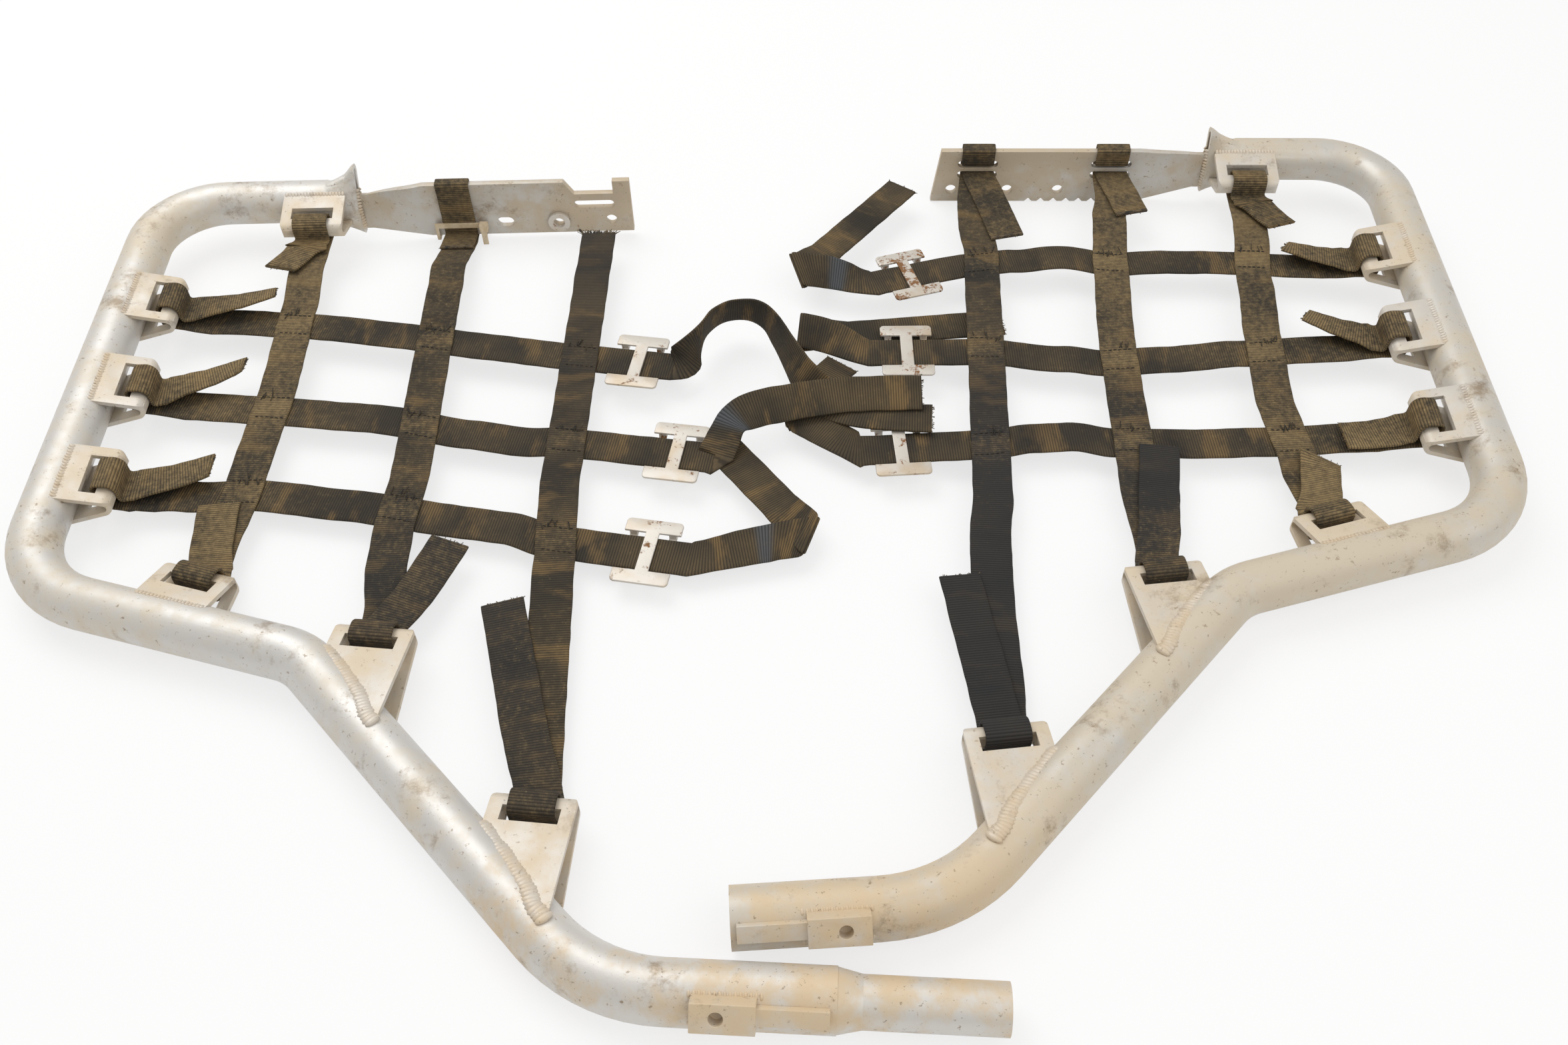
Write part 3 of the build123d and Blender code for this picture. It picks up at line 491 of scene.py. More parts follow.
def ribbed_webbing(name):
    """Black nylon webbing with ribs across it, ground-in mud, golden streaks, tan dust and slate bands."""
    finish = Finish(name, roughness=0.85)
    finish.shader.inputs["Specular IOR Level"].default_value = 0.3
    chart = finish.nodes.new("ShaderNodeSeparateXYZ")
    uv = finish.place.outputs["UV"]
    finish.links.new(uv, chart.inputs[0])
    along = chart.outputs[0]
    levels = {}
    for level in ("dust", "rub", "clean"):
        reader = finish.nodes.new("ShaderNodeAttribute")
        reader.attribute_name = level
        levels[level] = reader.outputs["Fac"]
    rib = finish.math("SINE", finish.math("MULTIPLY", along, 2 * math.pi / (RIB_PITCH * MM)))
    rib = finish.math("ADD", finish.math("MULTIPLY", rib, 0.5), 0.5)
    weave = finish.cloud(1500.0, 2.0, 0.5, where=uv, stretch=(0.35, 1.0, 1.0))
    mud = finish.cloud(17.0, 5.0, 0.55, where=uv)
    colour = finish.mix(finish.ramp(mud, 0.34, 0.68), MUD_DARK, MUD_PALE)
    streak = finish.cloud(48.0, 5.0, 0.6, where=uv, stretch=(1.0, 0.35, 1.0))
    colour = finish.mix(finish.ramp(streak, 0.50, 0.64, 0.0, 0.85), colour, GOLD_STREAK)
    shadow = finish.cloud(31.0, 2.0, 0.45, where=uv, stretch=(1.0, 0.3, 1.0))
    colour = finish.mix(finish.ramp(shadow, 0.54, 0.70, 0.0, 0.55), colour, DEEP_SHADOW)
    colour = finish.mix(finish.math("MULTIPLY", levels["clean"], 0.85), colour, CLEAN_BLACK)
    colour = finish.mix(finish.math("MULTIPLY", levels["rub"], 0.85), colour, SLATE)
    clump = finish.blend_of(finish.cloud(240.0, 7.0, 0.75, where=uv), 0.72, mud, 0.28)
    dusted = finish.ramp(finish.math("ADD", clump, finish.math("MULTIPLY", levels["dust"], 0.34)), 0.59, 0.95)
    colour = finish.mix(dusted, colour, TAN_DUST)
    grit = finish.ramp(finish.cloud(380.0, 3.0, 0.6, where=uv), 0.68, 0.74, 0.0, 0.9)
    colour = finish.mix(finish.math("MULTIPLY", grit, levels["dust"]), colour, PALE_GRIT)
    # Painted shade in the troughs between the ribs, darkest where the rib wave is lowest
    colour = finish.mix(finish.ramp(rib, 0.62, 0.0, 0.0, 0.62), colour, RIB_SHADE)
    skin = finish.bump(finish.blend_of(rib, 0.75, weave, 0.25), 0.7, 0.0005)
    return finish.shade(Base_Color=colour, Normal=skin)


def plain_finish(name, first, second, scale, roughness):
    """Two colours in soft patches."""
    finish = Finish(name, roughness=roughness)
    patch = finish.cloud(scale, 5.0, 0.6)
    colour = finish.mix(finish.ramp(patch, 0.35, 0.65), first, second)
    return finish.shade(Base_Color=colour, Normal=finish.bump(patch, 0.15, 0.0003))


TUBE_FINISH = {
    "left": dusty_aluminium("silver_tube_aluminium", (0.66, 0.645, 0.615), (0.65, 0.57, 0.45),
                            dusted_share=0.66, metal=0.40, specked=0.72),
    "right": dusty_aluminium("beige_tube_aluminium", (0.60, 0.575, 0.53), (0.61, 0.53, 0.41),
                             dusted_share=0.85, metal=0.30, specked=0.78),
}
LUG_FINISH = dusty_aluminium("dusty_lug_aluminium", (0.64, 0.60, 0.54), (0.64, 0.54, 0.40),
                             dusted_share=0.80, metal=0.22, specked=0.65)
PLATE_FINISH = dusty_aluminium("mottled_plate_aluminium", (0.56, 0.54, 0.50), (0.52, 0.43, 0.31),
                               dusted_share=0.75, metal=0.26, specked=0.8)
WELD_FINISH = dusty_aluminium("weld_bead_aluminium", (0.64, 0.59, 0.52), (0.62, 0.50, 0.35),
                              dusted_share=0.75, metal=0.22, specked=0.7)
STEEL_FINISH = stained_steel("stained_buckle_steel")
RUSTY_FINISH = stained_steel("rusty_buckle_steel", 0.07)
WEB_FINISH = ribbed_webbing("muddy_webbing")
THREAD_FINISH = plain_finish("black_sewing_thread", (0.010, 0.009, 0.008), (0.050, 0.036, 0.020), 300.0, 0.8)
FIBRE_FINISH = plain_finish("frayed_fibre", (0.022, 0.020, 0.018), (0.140, 0.100, 0.055), 200.0, 0.9)
TIE_FINISH = plain_finish("aged_tie_nylon", (0.74, 0.62, 0.44), (0.60, 0.47, 0.30), 120.0, 0.5)


# Webbing straps
def route(corners):
    """Stations (point, across) along runs joined by round bends; a corner is (point, radius, across)."""
    stations = []
    start, start_across = corners[0][0], corners[0][2]
    for index in range(1, len(corners)):
        corner, radius, across = corners[index]
        if index == len(corners) - 1:
            add_run(stations, start, corner, start_across, across)
            break
        back = (corners[index - 1][0] - corner).normalized()
        ahead = (corners[index + 1][0] - corner).normalized()
        half = back.angle(ahead) / 2
        if half > STRAIGHT_HALF:
            add_run(stations, start, corner, start_across, across)
            start, start_across = corner, across
            continue
        shorter = min((corners[index - 1][0] - corner).length, (corners[index + 1][0] - corner).length)
        setback = min(radius / math.tan(half), shorter * BEND_SHARE)
        radius = setback * math.tan(half)
        centre = corner + (back + ahead).normalized() * (radius / math.sin(half))
        first = corner + back * setback
        last = corner + ahead * setback
        add_run(stations, start, first, start_across, across)
        steps = max(3, round((math.pi - 2 * half) / BEND_STEP))
        for step in range(1, steps):
            spoke = (first - centre).slerp(last - centre, step / steps) * radius
            stations.append((centre + spoke, across))
        start, start_across = last, across
    return stations


def add_run(stations, start, end, start_across, end_across, pitch=4.0):
    """Add a straight run to stations, its width turning evenly from one across to the other."""
    steps = max(1, round((end - start).length / pitch))
    for step in range(steps + 1):
        share = step / steps
        across = start_across.lerp(end_across, share).normalized()
        stations.append((start.lerp(end, share), across))


def smooth_through(knots, pitch=3.0):
    """Stations of a ribbon that passes smoothly through knots (point, roll)."""
    points = [point for point, roll in knots]
    rolls = [roll for point, roll in knots]
    spots = []
    for index in range(len(knots) - 1):
        ring = [max(index - 1, 0), index, index + 1, min(index + 2, len(knots) - 1)]
        steps = max(2, round((points[index + 1] - points[index]).length / pitch))
        for step in range(steps):
            t = step / steps
            weights = ((-t**3 + 2 * t**2 - t) / 2, (3 * t**3 - 5 * t**2 + 2) / 2,
                       (-3 * t**3 + 4 * t**2 + t) / 2, (t**3 - t**2) / 2)
            point = sum((points[k] * w for k, w in zip(ring, weights)), Vector())
            spots.append((point, sum(rolls[k] * w for k, w in zip(ring, weights))))
    spots.append(knots[-1])
    stations = []
    for index, (point, roll) in enumerate(spots):
        run = spots[min(index + 1, len(spots) - 1)][0] - spots[max(index - 1, 0)][0]
        level = UP.cross(run).normalized()
        turn = Matrix.Rotation(math.radians(roll), 3, run.normalized())
        stations.append((point, turn @ level))
    return stations


# Upper half of the webbing's section: share of the half width, share of half the thickness
OVER_TOP = ((-1.0, 0.0), (-0.99, 0.62), (-0.955, 0.92), (-0.80, 0.98), (-0.4, 1.0), (0.0, 1.0), (0.4, 1.0),
            (0.80, 0.98), (0.955, 0.92), (0.99, 0.62))
PROFILE = OVER_TOP + tuple((-s, -h) for s, h in OVER_TOP)


def thinned(stations, least=0.25):
    """Stations without those that all but repeat the one before."""
    kept = [stations[0]]
    for point, across in stations[1:]:
        if (point - kept[-1][0]).length > least:
            kept.append((point, across))
    return kept


def webbing(name, side, stations, levels, seed):
    """One strap as a closed band of webbing along its stations, with its length as its own map."""
    grid = bmesh.new()
    chart = grid.loops.layers.uv.new("webbing")
    layers = {level: grid.verts.layers.float.new(level) for level in levels}
    rings, marks = [], []
    gone = 0.0
    for index, (point, across) in enumerate(stations):
        before = stations[max(index - 1, 0)][0]
        after = stations[min(index + 1, len(stations) - 1)][0]
        run = (after - before).normalized()
        face = run.cross(across).normalized()
        half = WEB_WIDTH / 2 / max(run.cross(across).length, SLANT_LIMIT)
        if index:
            gone += (point - before).length
        ring = []
        for s, h in PROFILE:
            fuzz = noise.noise(Vector((gone * FUZZ_RATE + seed * 7.3, s * 0.7, seed))) * EDGE_FUZZ
            wander = noise.noise(Vector((gone * WANDER_RATE + seed * 3.1, 4.0, seed))) * EDGE_WANDER
            spot = point + across * (s * half + wander + fuzz * abs(s)) + face * (h * WEB_T / 2)
            corner = grid.verts.new(LAY[side] @ spot)
            for level, layer in layers.items():
                corner[layer] = levels[level](gone)
            ring.append(corner)
        rings.append(ring)
        marks.append(gone)
    count = len(PROFILE)
    for index in range(len(rings) - 1):
        for k in range(count):
            after = (k + 1) % count
            spots = ((index, k), (index, after), (index + 1, after), (index + 1, k))
            quad = grid.faces.new([rings[row][col] for row, col in spots])
            quad.smooth = True
            for loop, (row, col) in zip(quad.loops, spots):
                sheet_side = 0.0 if k < count // 2 else MAP_FACE
                width = PROFILE[col][0] * WEB_WIDTH / 2 * MM
                loop[chart].uv = (marks[row] * MM + seed * MAP_ALONG, width + sheet_side + seed * MAP_ACROSS)
    for ring in (rings[0], rings[-1]):
        cap = grid.faces.new(ring)
        for loop in cap.loops:
            loop[chart].uv = (seed * MAP_ALONG, seed * MAP_ACROSS)
    bmesh.ops.recalc_face_normals(grid, faces=grid.faces)
    return piece_of(grid, name, WEB_FINISH)


def eased(knots, place):
    """Value at a place on a smooth line through knots (place, value)."""
    if place <= knots[0][0]:
        return knots[0][1]
    for (start, low), (end, high) in zip(knots, knots[1:]):
        if place <= end:
            t = (place - start) / max(end - start, 1e-6)
            return low + (high - low) * t * t * (3 - 2 * t)
    return knots[-1][1]


def bowed(stations, kind, knots, level):
    """Stations of a strap with its stretch in the net pulled sideways."""
    if not knots:
        return stations
    moved = []
    for point, across in stations:
        place, shift = (point.x, Vector((0, 1, 0))) if kind == "cross" else (point.y, Vector((1, 0, 0)))
        in_net = abs(point.z - level) < NET_BAND and knots[0][0] < place < knots[-1][0]
        moved.append((point + shift * eased(knots, place) if in_net else point, across))
    return moved


def lug_frames(side):
    """Nose point and outward angle of each lug that holds a strap."""
    lower = flat(FRONT) + heading(LOWER_ANGLE) * LOWER_LUG_AT[side] + heading(LOWER_ANGLE + 90) * NOSE_AT
    top = TOP_RUN * TOP_LUG_AT[side] + TOP_FORWARD * NOSE_AT
    return {
        "front": [(lower, LOWER_ANGLE + 90)] + [(flat(nose), SLANT_ANGLE) for nose in SLANT_NOSES],
        "outer": [(Vector((NOSE_AT, y, 0)), 0.0) for y in OUTER_LUGS_Y],
        "top": (top, TOP_RUN_ANGLE - 90),
    }


def anchor(nose, outward, run):
    """Point of a lug's window that a strap leaves from."""
    across = heading(outward + 90)
    return nose + across * (LOOP_BACK * run.dot(across))


def lug_corners(nose, outward, run, level, tail_angle, tail, flip=1.0):
    """Corners of webbing from a tail tip, tight round a lug nose, through its window and out along run."""
    _, reach, roll, hook, cut = tail
    lug_across = heading(outward + 90) * flip
    base = anchor(nose, outward, run)
    tail_run = heading(tail_angle)
    side_step = heading(tail_angle + 90)
    tail_across = side_step if side_step.dot(lug_across) > 0 else -side_step
    front = nose + heading(outward) * (NOSE_R + WEB_GAP + WEB_T / 2)

    def on_tail(share):
        """Point and across of the tail at a share of its reach."""
        turned = Matrix.Rotation(math.radians(roll * share), 3, tail_run) @ tail_across
        lie = TAIL_EXIT_Z + (TAIL_LIE_Z - TAIL_EXIT_Z) * min(1.0, TAIL_SETTLE * share)
        height = lie + WEB_WIDTH / 2 * math.sin(math.radians(abs(roll) * share))
        swing = math.atan2(2 * hook * share, reach) + (math.radians(cut) if share == 1.0 else 0.0)
        turned = Matrix.Rotation(swing, 3, "Z") @ turned
        return nose + tail_run * (reach * share) + side_step * (hook * share**2) + UP * height, turned

    corners = []
    for share, radius in TAIL_BENDS:
        point, across = on_tail(share)
        corners.append((point, radius, across))
    leave = front + tail_run * JOIN + UP * TAIL_EXIT_Z
    run_across = heading(bearing(run) + 90)
    if run_across.dot(lug_across) < 0:
        run_across = -run_across
    return corners + [
        (leave, LEAVE_RADIUS, (lug_across + tail_across).normalized()),
        (front + UP * TAIL_EXIT_Z, EXIT_RADIUS, lug_across),
        (front + UP * (LOOP_Z - WEB_GAP), NOSE_RADIUS, lug_across),
        (base - run * LOOP_BACK + UP * LOOP_Z, LOOP_RADIUS, lug_across),
        (base - run * LOOP_BACK - UP * LOOP_Z, LOOP_RADIUS, lug_across),
        (base + run * LOOP_FRONT - UP * LOOP_Z, SLOPE_RADIUS, lug_across),
        (base + run * SLOPE_END + UP * level, SLOPE_RADIUS, run_across)]


def plate_corners(side, x, run, tail):
    """Corners of webbing from the net, round the mount plate and down to its tail; run points to the net."""
    top = PLATE_HALF - PLATE_DROP[side]
    bottom = -PLATE_HALF - PLATE_DROP[side]
    origin = TOP_RUN * x + TOP_FORWARD * PLATE_SET_FORWARD
    across = -TOP_RUN
    face = PLATE_T / 2 + WEB_GAP + WEB_T / 2
    edge = WEB_GAP + WEB_T / 2
    net_across = heading(bearing(run) - 90)
    slope = (PLATE_SLOPE_END, LONG_Z, SLOPE_RADIUS)
    if side == "left":
        climb = (LONG_Z - bottom + edge) / (PLATE_SLOPE_END - face - JOIN)
        tail_z = LONG_Z - climb * (PLATE_SLOPE_END - tail) + WEB_T + 2 * LAYER_GAP
        folds = [(-face, bottom - edge), (-face, top + edge), (face, top + edge), (face, bottom + WEB_T)]
        before = [slope, (face + JOIN, bottom - edge, PLATE_JOIN_RADIUS)]
        after = [(tail, tail_z, 0)]
    else:
        outer = face + WEB_T + LAYER_GAP
        tail_z = LONG_Z + WEB_T + LAYER_GAP
        upper = LONG_Z + (WEB_T + LAYER_GAP) / 2 + STRAP_SLOT_PITCH
        folds = [(-outer, LONG_Z), (-outer, top + edge), (face, top + edge), (face, upper),
                 (-face, upper), (-face, tail_z)]
        before = [slope]
        after = []
    corners = before + [(ahead, z, PLATE_FOLD_RADIUS) for ahead, z in folds] + after
    made = [(origin + run * ahead + UP * z, radius, across) for ahead, z, radius in corners]
    if side == "right":
        tail_run = heading(bearing(run) - PLATE_TAIL_TURN)
        tail_across = -heading(TOP_RUN_ANGLE - PLATE_TAIL_TURN)
        leave = origin + tail_run * (face + JOIN) + UP * tail_z
        made.append((leave, PLATE_TAIL_RADIUS, (across + tail_across).normalized()))
        for share, rise, radius in PLATE_TAIL_BENDS:
            spot = origin + tail_run * (tail * share) + UP * (tail_z + rise)
            made.append((spot, radius, tail_across))
    made[0] = (made[0][0], made[0][1], net_across)
    return made


def long_strap(side, index):
    """Stations of a strap that runs from a front lug rearward."""
    frames = lug_frames(side)
    nose, outward = frames["front"][index]
    tail = FRONT_TAILS[side][index]
    if side == "left" and index == 2:
        run = heading(angle_of(nose, FREE_BEND))
        corners = lug_corners(nose, outward, run, LONG_Z, 90 - tail[0], tail)
        corners.append((flat(FREE_BEND, LONG_Z), FREE_BEND_RADIUS, Vector((-1, 0, 0))))
        corners.append((flat(FREE_END, LONG_Z), 0, -heading(angle_of(FREE_BEND, FREE_END) - 90)))
        return route(corners)
    if index == 0:
        rear, rear_outward = frames["top"]
        run = (rear - nose).normalized()
        span = anchor(rear, rear_outward, -run) - anchor(nose, outward, run)
        run = span.normalized()
        rear_tail = REAR_TAILS[side]
        back = lug_corners(rear, rear_outward, -run, LONG_Z, -90 + rear_tail[0], rear_tail, -1.0)
        return route(lug_corners(nose, outward, run, LONG_Z, 90 - tail[0], tail) + back[::-1])
    rear = TOP_RUN * LONG_REAR_X[side][index] + TOP_FORWARD * PLATE_SET_FORWARD
    run = (rear - nose).normalized()
    run = (rear - anchor(nose, outward, run)).normalized()
    rear_tail = LEFT_PLATE_TAIL if side == "left" else RIGHT_PLATE_TAIL[index - 1]
    front = lug_corners(nose, outward, run, LONG_Z, 90 - tail[0], tail)
    return route(front + plate_corners(side, LONG_REAR_X[side][index], -run, rear_tail))


def folded_tail(start, angle, fold, tip, rise, tilt, dip):
    """Stations of a tail whose first leg tips up toward its far edge, then folds over once to its tip."""
    fold_point = flat(fold, CROSS_Z)
    first = (fold_point - start).normalized()
    second = (flat(tip) - flat(fold)).normalized()
    left = heading(angle_of(start, fold_point) + 90)
    far_edge = 1.0 if left.y > 0 else -1.0
    crease = (first + second).normalized()
    if crease.dot(left) < 0:
        crease = -crease
    crease = (crease + UP * (far_edge * math.tan(math.radians(tilt)) * crease.dot(left))).normalized()
    stations = []
    steps = max(6, round((fold_point - start).length / LEG_PITCH))
    for step in range(steps + 1):
        share = step / steps
        tipped = tilt * eased(TIP_UP, share)
        across = heading(angle + 90).lerp(left, min(1.0, TURN_RATE * share)).normalized()
        across = Matrix.Rotation(math.radians(tipped * far_edge), 3, first) @ across
        across = across.lerp(crease, eased(INTO_CREASE, share)).normalized()
        height = WEB_WIDTH / 2 * math.sin(math.radians(tipped))
        stations.append((start.lerp(fold_point, share) + UP * height, across))
    lift = UP * (WEB_WIDTH / 2 * math.sin(math.radians(tilt)))
    away = (first - second).normalized()
    bow = abs(rise) / 2
    for step in range(1, FOLD_STEPS):
        swing = math.pi * step / FOLD_STEPS
        height = rise / 2 * (1 - math.cos(swing))
        stations.append((fold_point + lift + away * (bow * math.sin(swing)) + UP * height, crease))
    back_left = heading(angle_of(fold, tip) + 90)
    if back_left.dot(crease) < 0:
        back_left = -back_left
    top = flat(fold, CROSS_Z + rise) + lift
    reach = (flat(tip) - flat(fold)).length
    far = flat(fold, CROSS_Z + rise + dip / 2) + second * min(FLAT_AFTER, reach * FLAT_SHARE)
    far += lift * LIFT_LEFT
    end = flat(tip, CROSS_Z + rise + dip)
    add_run(stations, top, far, crease, back_left, LEG_PITCH)
    add_run(stations, far, end, back_left, back_left)
    return stations


def cross_strap(side, index):
    """Stations of a strap from an outer lug, through its buckle and on as a loose tail."""
    nose, outward = lug_frames(side)["outer"][index]
    bend = (BEND_X, BEND_Y[side][index])
    centre = (BUCKLE_X[side][index], BUCKLE_Y[side][index])
    run = heading(angle_of(nose, bend))
    tail = CROSS_TAILS[side][index]
    corners = lug_corners(nose, outward, run, CROSS_Z, tail[0], tail)
    angle = angle_of(bend, centre)
    finish = flat(centre, CROSS_Z) + heading(angle) * (TAIL_START - JOIN / 2)
    bend_across = heading(angle_of(nose, bend) / 2 + angle / 2 + 90)
    corners.append((flat(bend, CROSS_Z), NET_BEND_RADIUS, bend_across))
    corners.append((finish, 0, heading(angle + 90)))
    stations = route(corners)
    if side == "left" and index in CURLED:
        knots = [(finish, 0.0)]
        knots += [(Vector((x, y, CROSS_Z + rise)), roll) for x, y, rise, roll in CURLED[index]]
        return stations + smooth_through(knots)[1:]
    return stations + folded_tail(finish, angle, *FOLDED[side][index])


# Dust along each strap, by the share of its length
DUST = {
    "left_long_strap_1": ((0.0, 0.75), (0.3, 0.55), (0.7, 0.7), (1.0, 0.8)),
    "left_long_strap_2": ((0.0, 0.45), (0.35, 0.4), (0.7, 0.45), (1.0, 0.7)),
    "left_long_strap_3": ((0.0, 0.3), (0.3, 0.4), (0.55, 0.25), (1.0, 0.05)),
    "right_long_strap_1": ((0.0, 0.9), (0.3, 0.55), (0.6, 0.6), (1.0, 0.75)),
    "right_long_strap_2": ((0.0, 0.0), (0.13, 0.45), (0.35, 0.4), (0.6, 0.6), (1.0, 0.7)),
    "right_long_strap_3": ((0.0, 0.0), (0.35, 0.05), (0.55, 0.3), (1.0, 0.6)),
}
CROSS_DUST = ((0.0, 0.85), (0.2, 0.5), (0.45, 0.22), (0.75, 0.12), (1.0, 0.15))
# How black a strap has stayed, by the share of its length
CLEAN = {
    "left_long_strap_2": ((0.0, 0.65), (0.25, 0.6), (0.45, 0.15), (1.0, 0.15)),
    "left_long_strap_3": ((0.0, 0.7), (0.22, 0.5), (0.4, 0.1), (0.8, 0.3), (1.0, 0.6)),
    "right_long_strap_2": ((0.0, 1.0), (0.12, 0.8), (0.2, 0.4), (0.35, 0.65), (0.5, 0.3), (0.8, 0.1),
                           (1.0, 0.1)),
    "right_long_strap_3": ((0.0, 1.0), (0.42, 1.0), (0.6, 0.4), (0.8, 0.1), (1.0, 0.1)),
}
BROWN_ALL_ALONG = ((0.0, 0.1), (0.5, 0.25), (1.0, 0.0))
CROSSING_DUST = 0.22
CROSSING_SPREAD = 11.0
# Slate bands rubbed into three of the loose tails: distance back from the tip, half width
RUBBED = {
    "left_cross_strap_2": (130.0, 5.5),
    "left_cross_strap_3": (131.0, 5.0),
    "right_cross_strap_1": (171.0, 6.5),
}
MAKERS = {"long": (long_strap, LONG_Z), "cross": (cross_strap, CROSS_Z)}
Crossing = namedtuple("Crossing", "long_node cross_node point along aside long_at cross_at")


def strap_runs():
    """Stations of every strap by its node's name."""
    runs = {}
    for side in SIDES:
        for kind, (stations_of, level) in MAKERS.items():
            for index in range(3):
                node = f"{side}_{kind}_strap_{index + 1}"
                runs[node] = bowed(thinned(stations_of(side, index)), kind, BOWS.get(node), level)
    return runs


def gone_along(stations):
    """Distance from the first station to each."""
    gone = [0.0]
    for (start, _), (end, _) in zip(stations, stations[1:]):
        gone.append(gone[-1] + (end - start).length)
    return gone


def find_crossings(runs):
    """Places where a long strap lies on a cross strap: point, both directions and the station of each."""
    found = []
    for long_node, long_run in runs.items():
        if "_long_" not in long_node:
            continue
        side = long_node.split("_")[0]
        for index in range(3):
            cross_node = f"{side}_cross_strap_{index + 1}"
            cross_run = runs[cross_node]
            pairs = []
            for i, (a, _) in enumerate(long_run):
                if abs(a.z - LONG_Z) > CROSSING_BAND:
                    continue
                for j, (b, _) in enumerate(cross_run):
                    if abs(b.z - CROSS_Z) < CROSSING_BAND and b.x < BEND_X + PAST_BEND:
                        pairs.append(((a.xy - b.xy).length, i, j))
            _, i, j = min(pairs)
            along = (long_run[i + 1][0] - long_run[i - 1][0]).normalized()
            aside = (cross_run[j + 1][0] - cross_run[j - 1][0]).normalized()
            found.append(Crossing(long_node, cross_node, long_run[i][0], along, aside, i, j))
    return found


def dust_of(node, total, sewn_at):
    """Dust level as a function of the distance along a strap."""
    shares = DUST.get(node, CROSS_DUST)

    def level(gone):
        """Dust of the strap there, heaped where it is sewn to another."""
        heap = sum(math.exp(-((gone - place) / CROSSING_SPREAD) ** 2) for place in sewn_at)
        return eased(shares, gone / total) + CROSSING_DUST * min(1.0, heap)
    return level


def rub_of(node, total):
    """Slate rub as a function of the distance along a strap."""
    if node not in RUBBED:
        return lambda gone: 0.0
    back, half = RUBBED[node]
    return lambda gone: math.exp(-((gone - total + back) / half) ** 4)


def clean_of(node, total):
    """How black a strap has stayed, as a function of the distance along it."""
    shares = CLEAN.get(node, BROWN_ALL_ALONG)
    return lambda gone: eased(shares, gone / total)


RUNS = strap_runs()
CROSSINGS = find_crossings(RUNS)
for seed, (node, run) in enumerate(RUNS.items(), 1):
    side, kind, _, number = node.split("_")
    gone = gone_along(run)
    sewn_at = [gone[crossing.long_at] for crossing in CROSSINGS if crossing.long_node == node]
    sewn_at += [gone[crossing.cross_at] for crossing in CROSSINGS if crossing.cross_node == node]
    levels = {"dust": dust_of(node, gone[-1], sewn_at), "rub": rub_of(node, gone[-1]),
              "clean": clean_of(node, gone[-1])}
    strap = webbing(f"{node}_webbing", side, run, levels, seed)
    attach(strap, f"{side}_bar")
    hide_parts(node)


# Metal pieces: the solids with their edges broken and the crushed tube mouths leaned back
MERGE = 1e-6
CUT_MERGE = 1e-7
FLAT_ANGLE = math.radians(0.5)
SHARP_ANGLE = math.radians(40)
ROUND_STEPS = 3


def smooth_step(value):
    """Smooth rise from 0 to 1 as a value goes from 0 to 1."""
    t = min(1.0, max(0.0, value))
    return t * t * (3 - 2 * t)


def leaned(point, side, on_plate):
    """Point of the bar frame once the crushed mouth leans rearward and the plate's neck twists with it."""
    place = point.dot(TOP_RUN) - MOUTH_AT[side]
    ahead = point.dot(TOP_FORWARD) - PLATE_SET_FORWARD
    height = point.z + MOUTH_DROP
    if abs(ahead) > 2 * TUBE_R or place < -CRUSH_LENGTH or place > NECK_TWIST:
        return point
    if on_plate:
        share = 1.0 - smooth_step(place / NECK_TWIST)
    else:
        share = smooth_step(1.0 + place / CRUSH_LENGTH)
        lip = smooth_step(1.0 + place / FIN_RUN)
        if height > 0:
            fin = FIN_RISE[side] * lip * smooth_step((height - FIN_FROM) / FIN_OVER)
            height = height * (1 + MOUTH_STRETCH * share) + fin
        else:
            height = height * (1 - MOUTH_SHRINK * share)
    angle = math.radians(MOUTH_LEAN[side] * share * smooth_step((height - LEAN_FROM) / LEAN_OVER))
    moved = ahead * math.cos(angle) - height * math.sin(angle) + PLATE_SET_FORWARD
    raised = ahead * math.sin(angle) + height * math.cos(angle) - MOUTH_DROP
    return TOP_RUN * point.dot(TOP_RUN) + TOP_FORWARD * moved + UP * raised


def cut_across(grid, side, reach):
    """Cross cuts along a reach from the mouth, so that the metal there can twist."""
    run = (LAY[side].to_3x3() @ TOP_RUN).normalized()
    for step in range(NECK_CUTS):
        place = MOUTH_AT[side] + reach * step / (NECK_CUTS - 1)
        spot = LAY[side] @ (TOP_RUN * place)
        everything = grid.verts[:] + grid.edges[:] + grid.faces[:]
        bmesh.ops.bisect_plane(grid, geom=everything, dist=CUT_MERGE, plane_co=spot, plane_no=run)


def dressed(name, side, body, slot, finish, width=0.0):
    """Copy of a solid's mesh, its sharp edges rounded by width and its mouth or neck leaned."""
    grid = bmesh.new()
    grid.from_mesh(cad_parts[name].data)
    bmesh.ops.remove_doubles(grid, verts=grid.verts, dist=MERGE)
    if width:
        bmesh.ops.dissolve_limit(grid, angle_limit=FLAT_ANGLE, verts=grid.verts, edges=grid.edges)
        sharp = [edge for edge in grid.edges if edge.is_manifold and edge.calc_face_angle(0.0) > SHARP_ANGLE]
        bmesh.ops.bevel(grid, geom=sharp, offset=width * MM, offset_type="OFFSET", segments=ROUND_STEPS,
                        profile=0.5, affect="EDGES", clamp_overlap=True)
    if slot in ("plate", "tube"):
        cut_across(grid, side, NECK_TWIST if slot == "plate" else -CRUSH_LENGTH)
        back = LAY[side].inverted()
        for corner in grid.verts:
            corner.co = LAY[side] @ leaned(back @ corner.co, side, slot == "plate")
    bmesh.ops.triangulate(grid, faces=[face for face in grid.faces if len(face.verts) > 4])
    bmesh.ops.recalc_face_normals(grid, faces=grid.faces)
    piece = piece_of(grid, f"{name}_soft", finish)
    piece.data.shade_smooth()
    piece.data.set_sharp_from_angle(angle=SHARP_ANGLE)
    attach(piece, body)
    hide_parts(name)


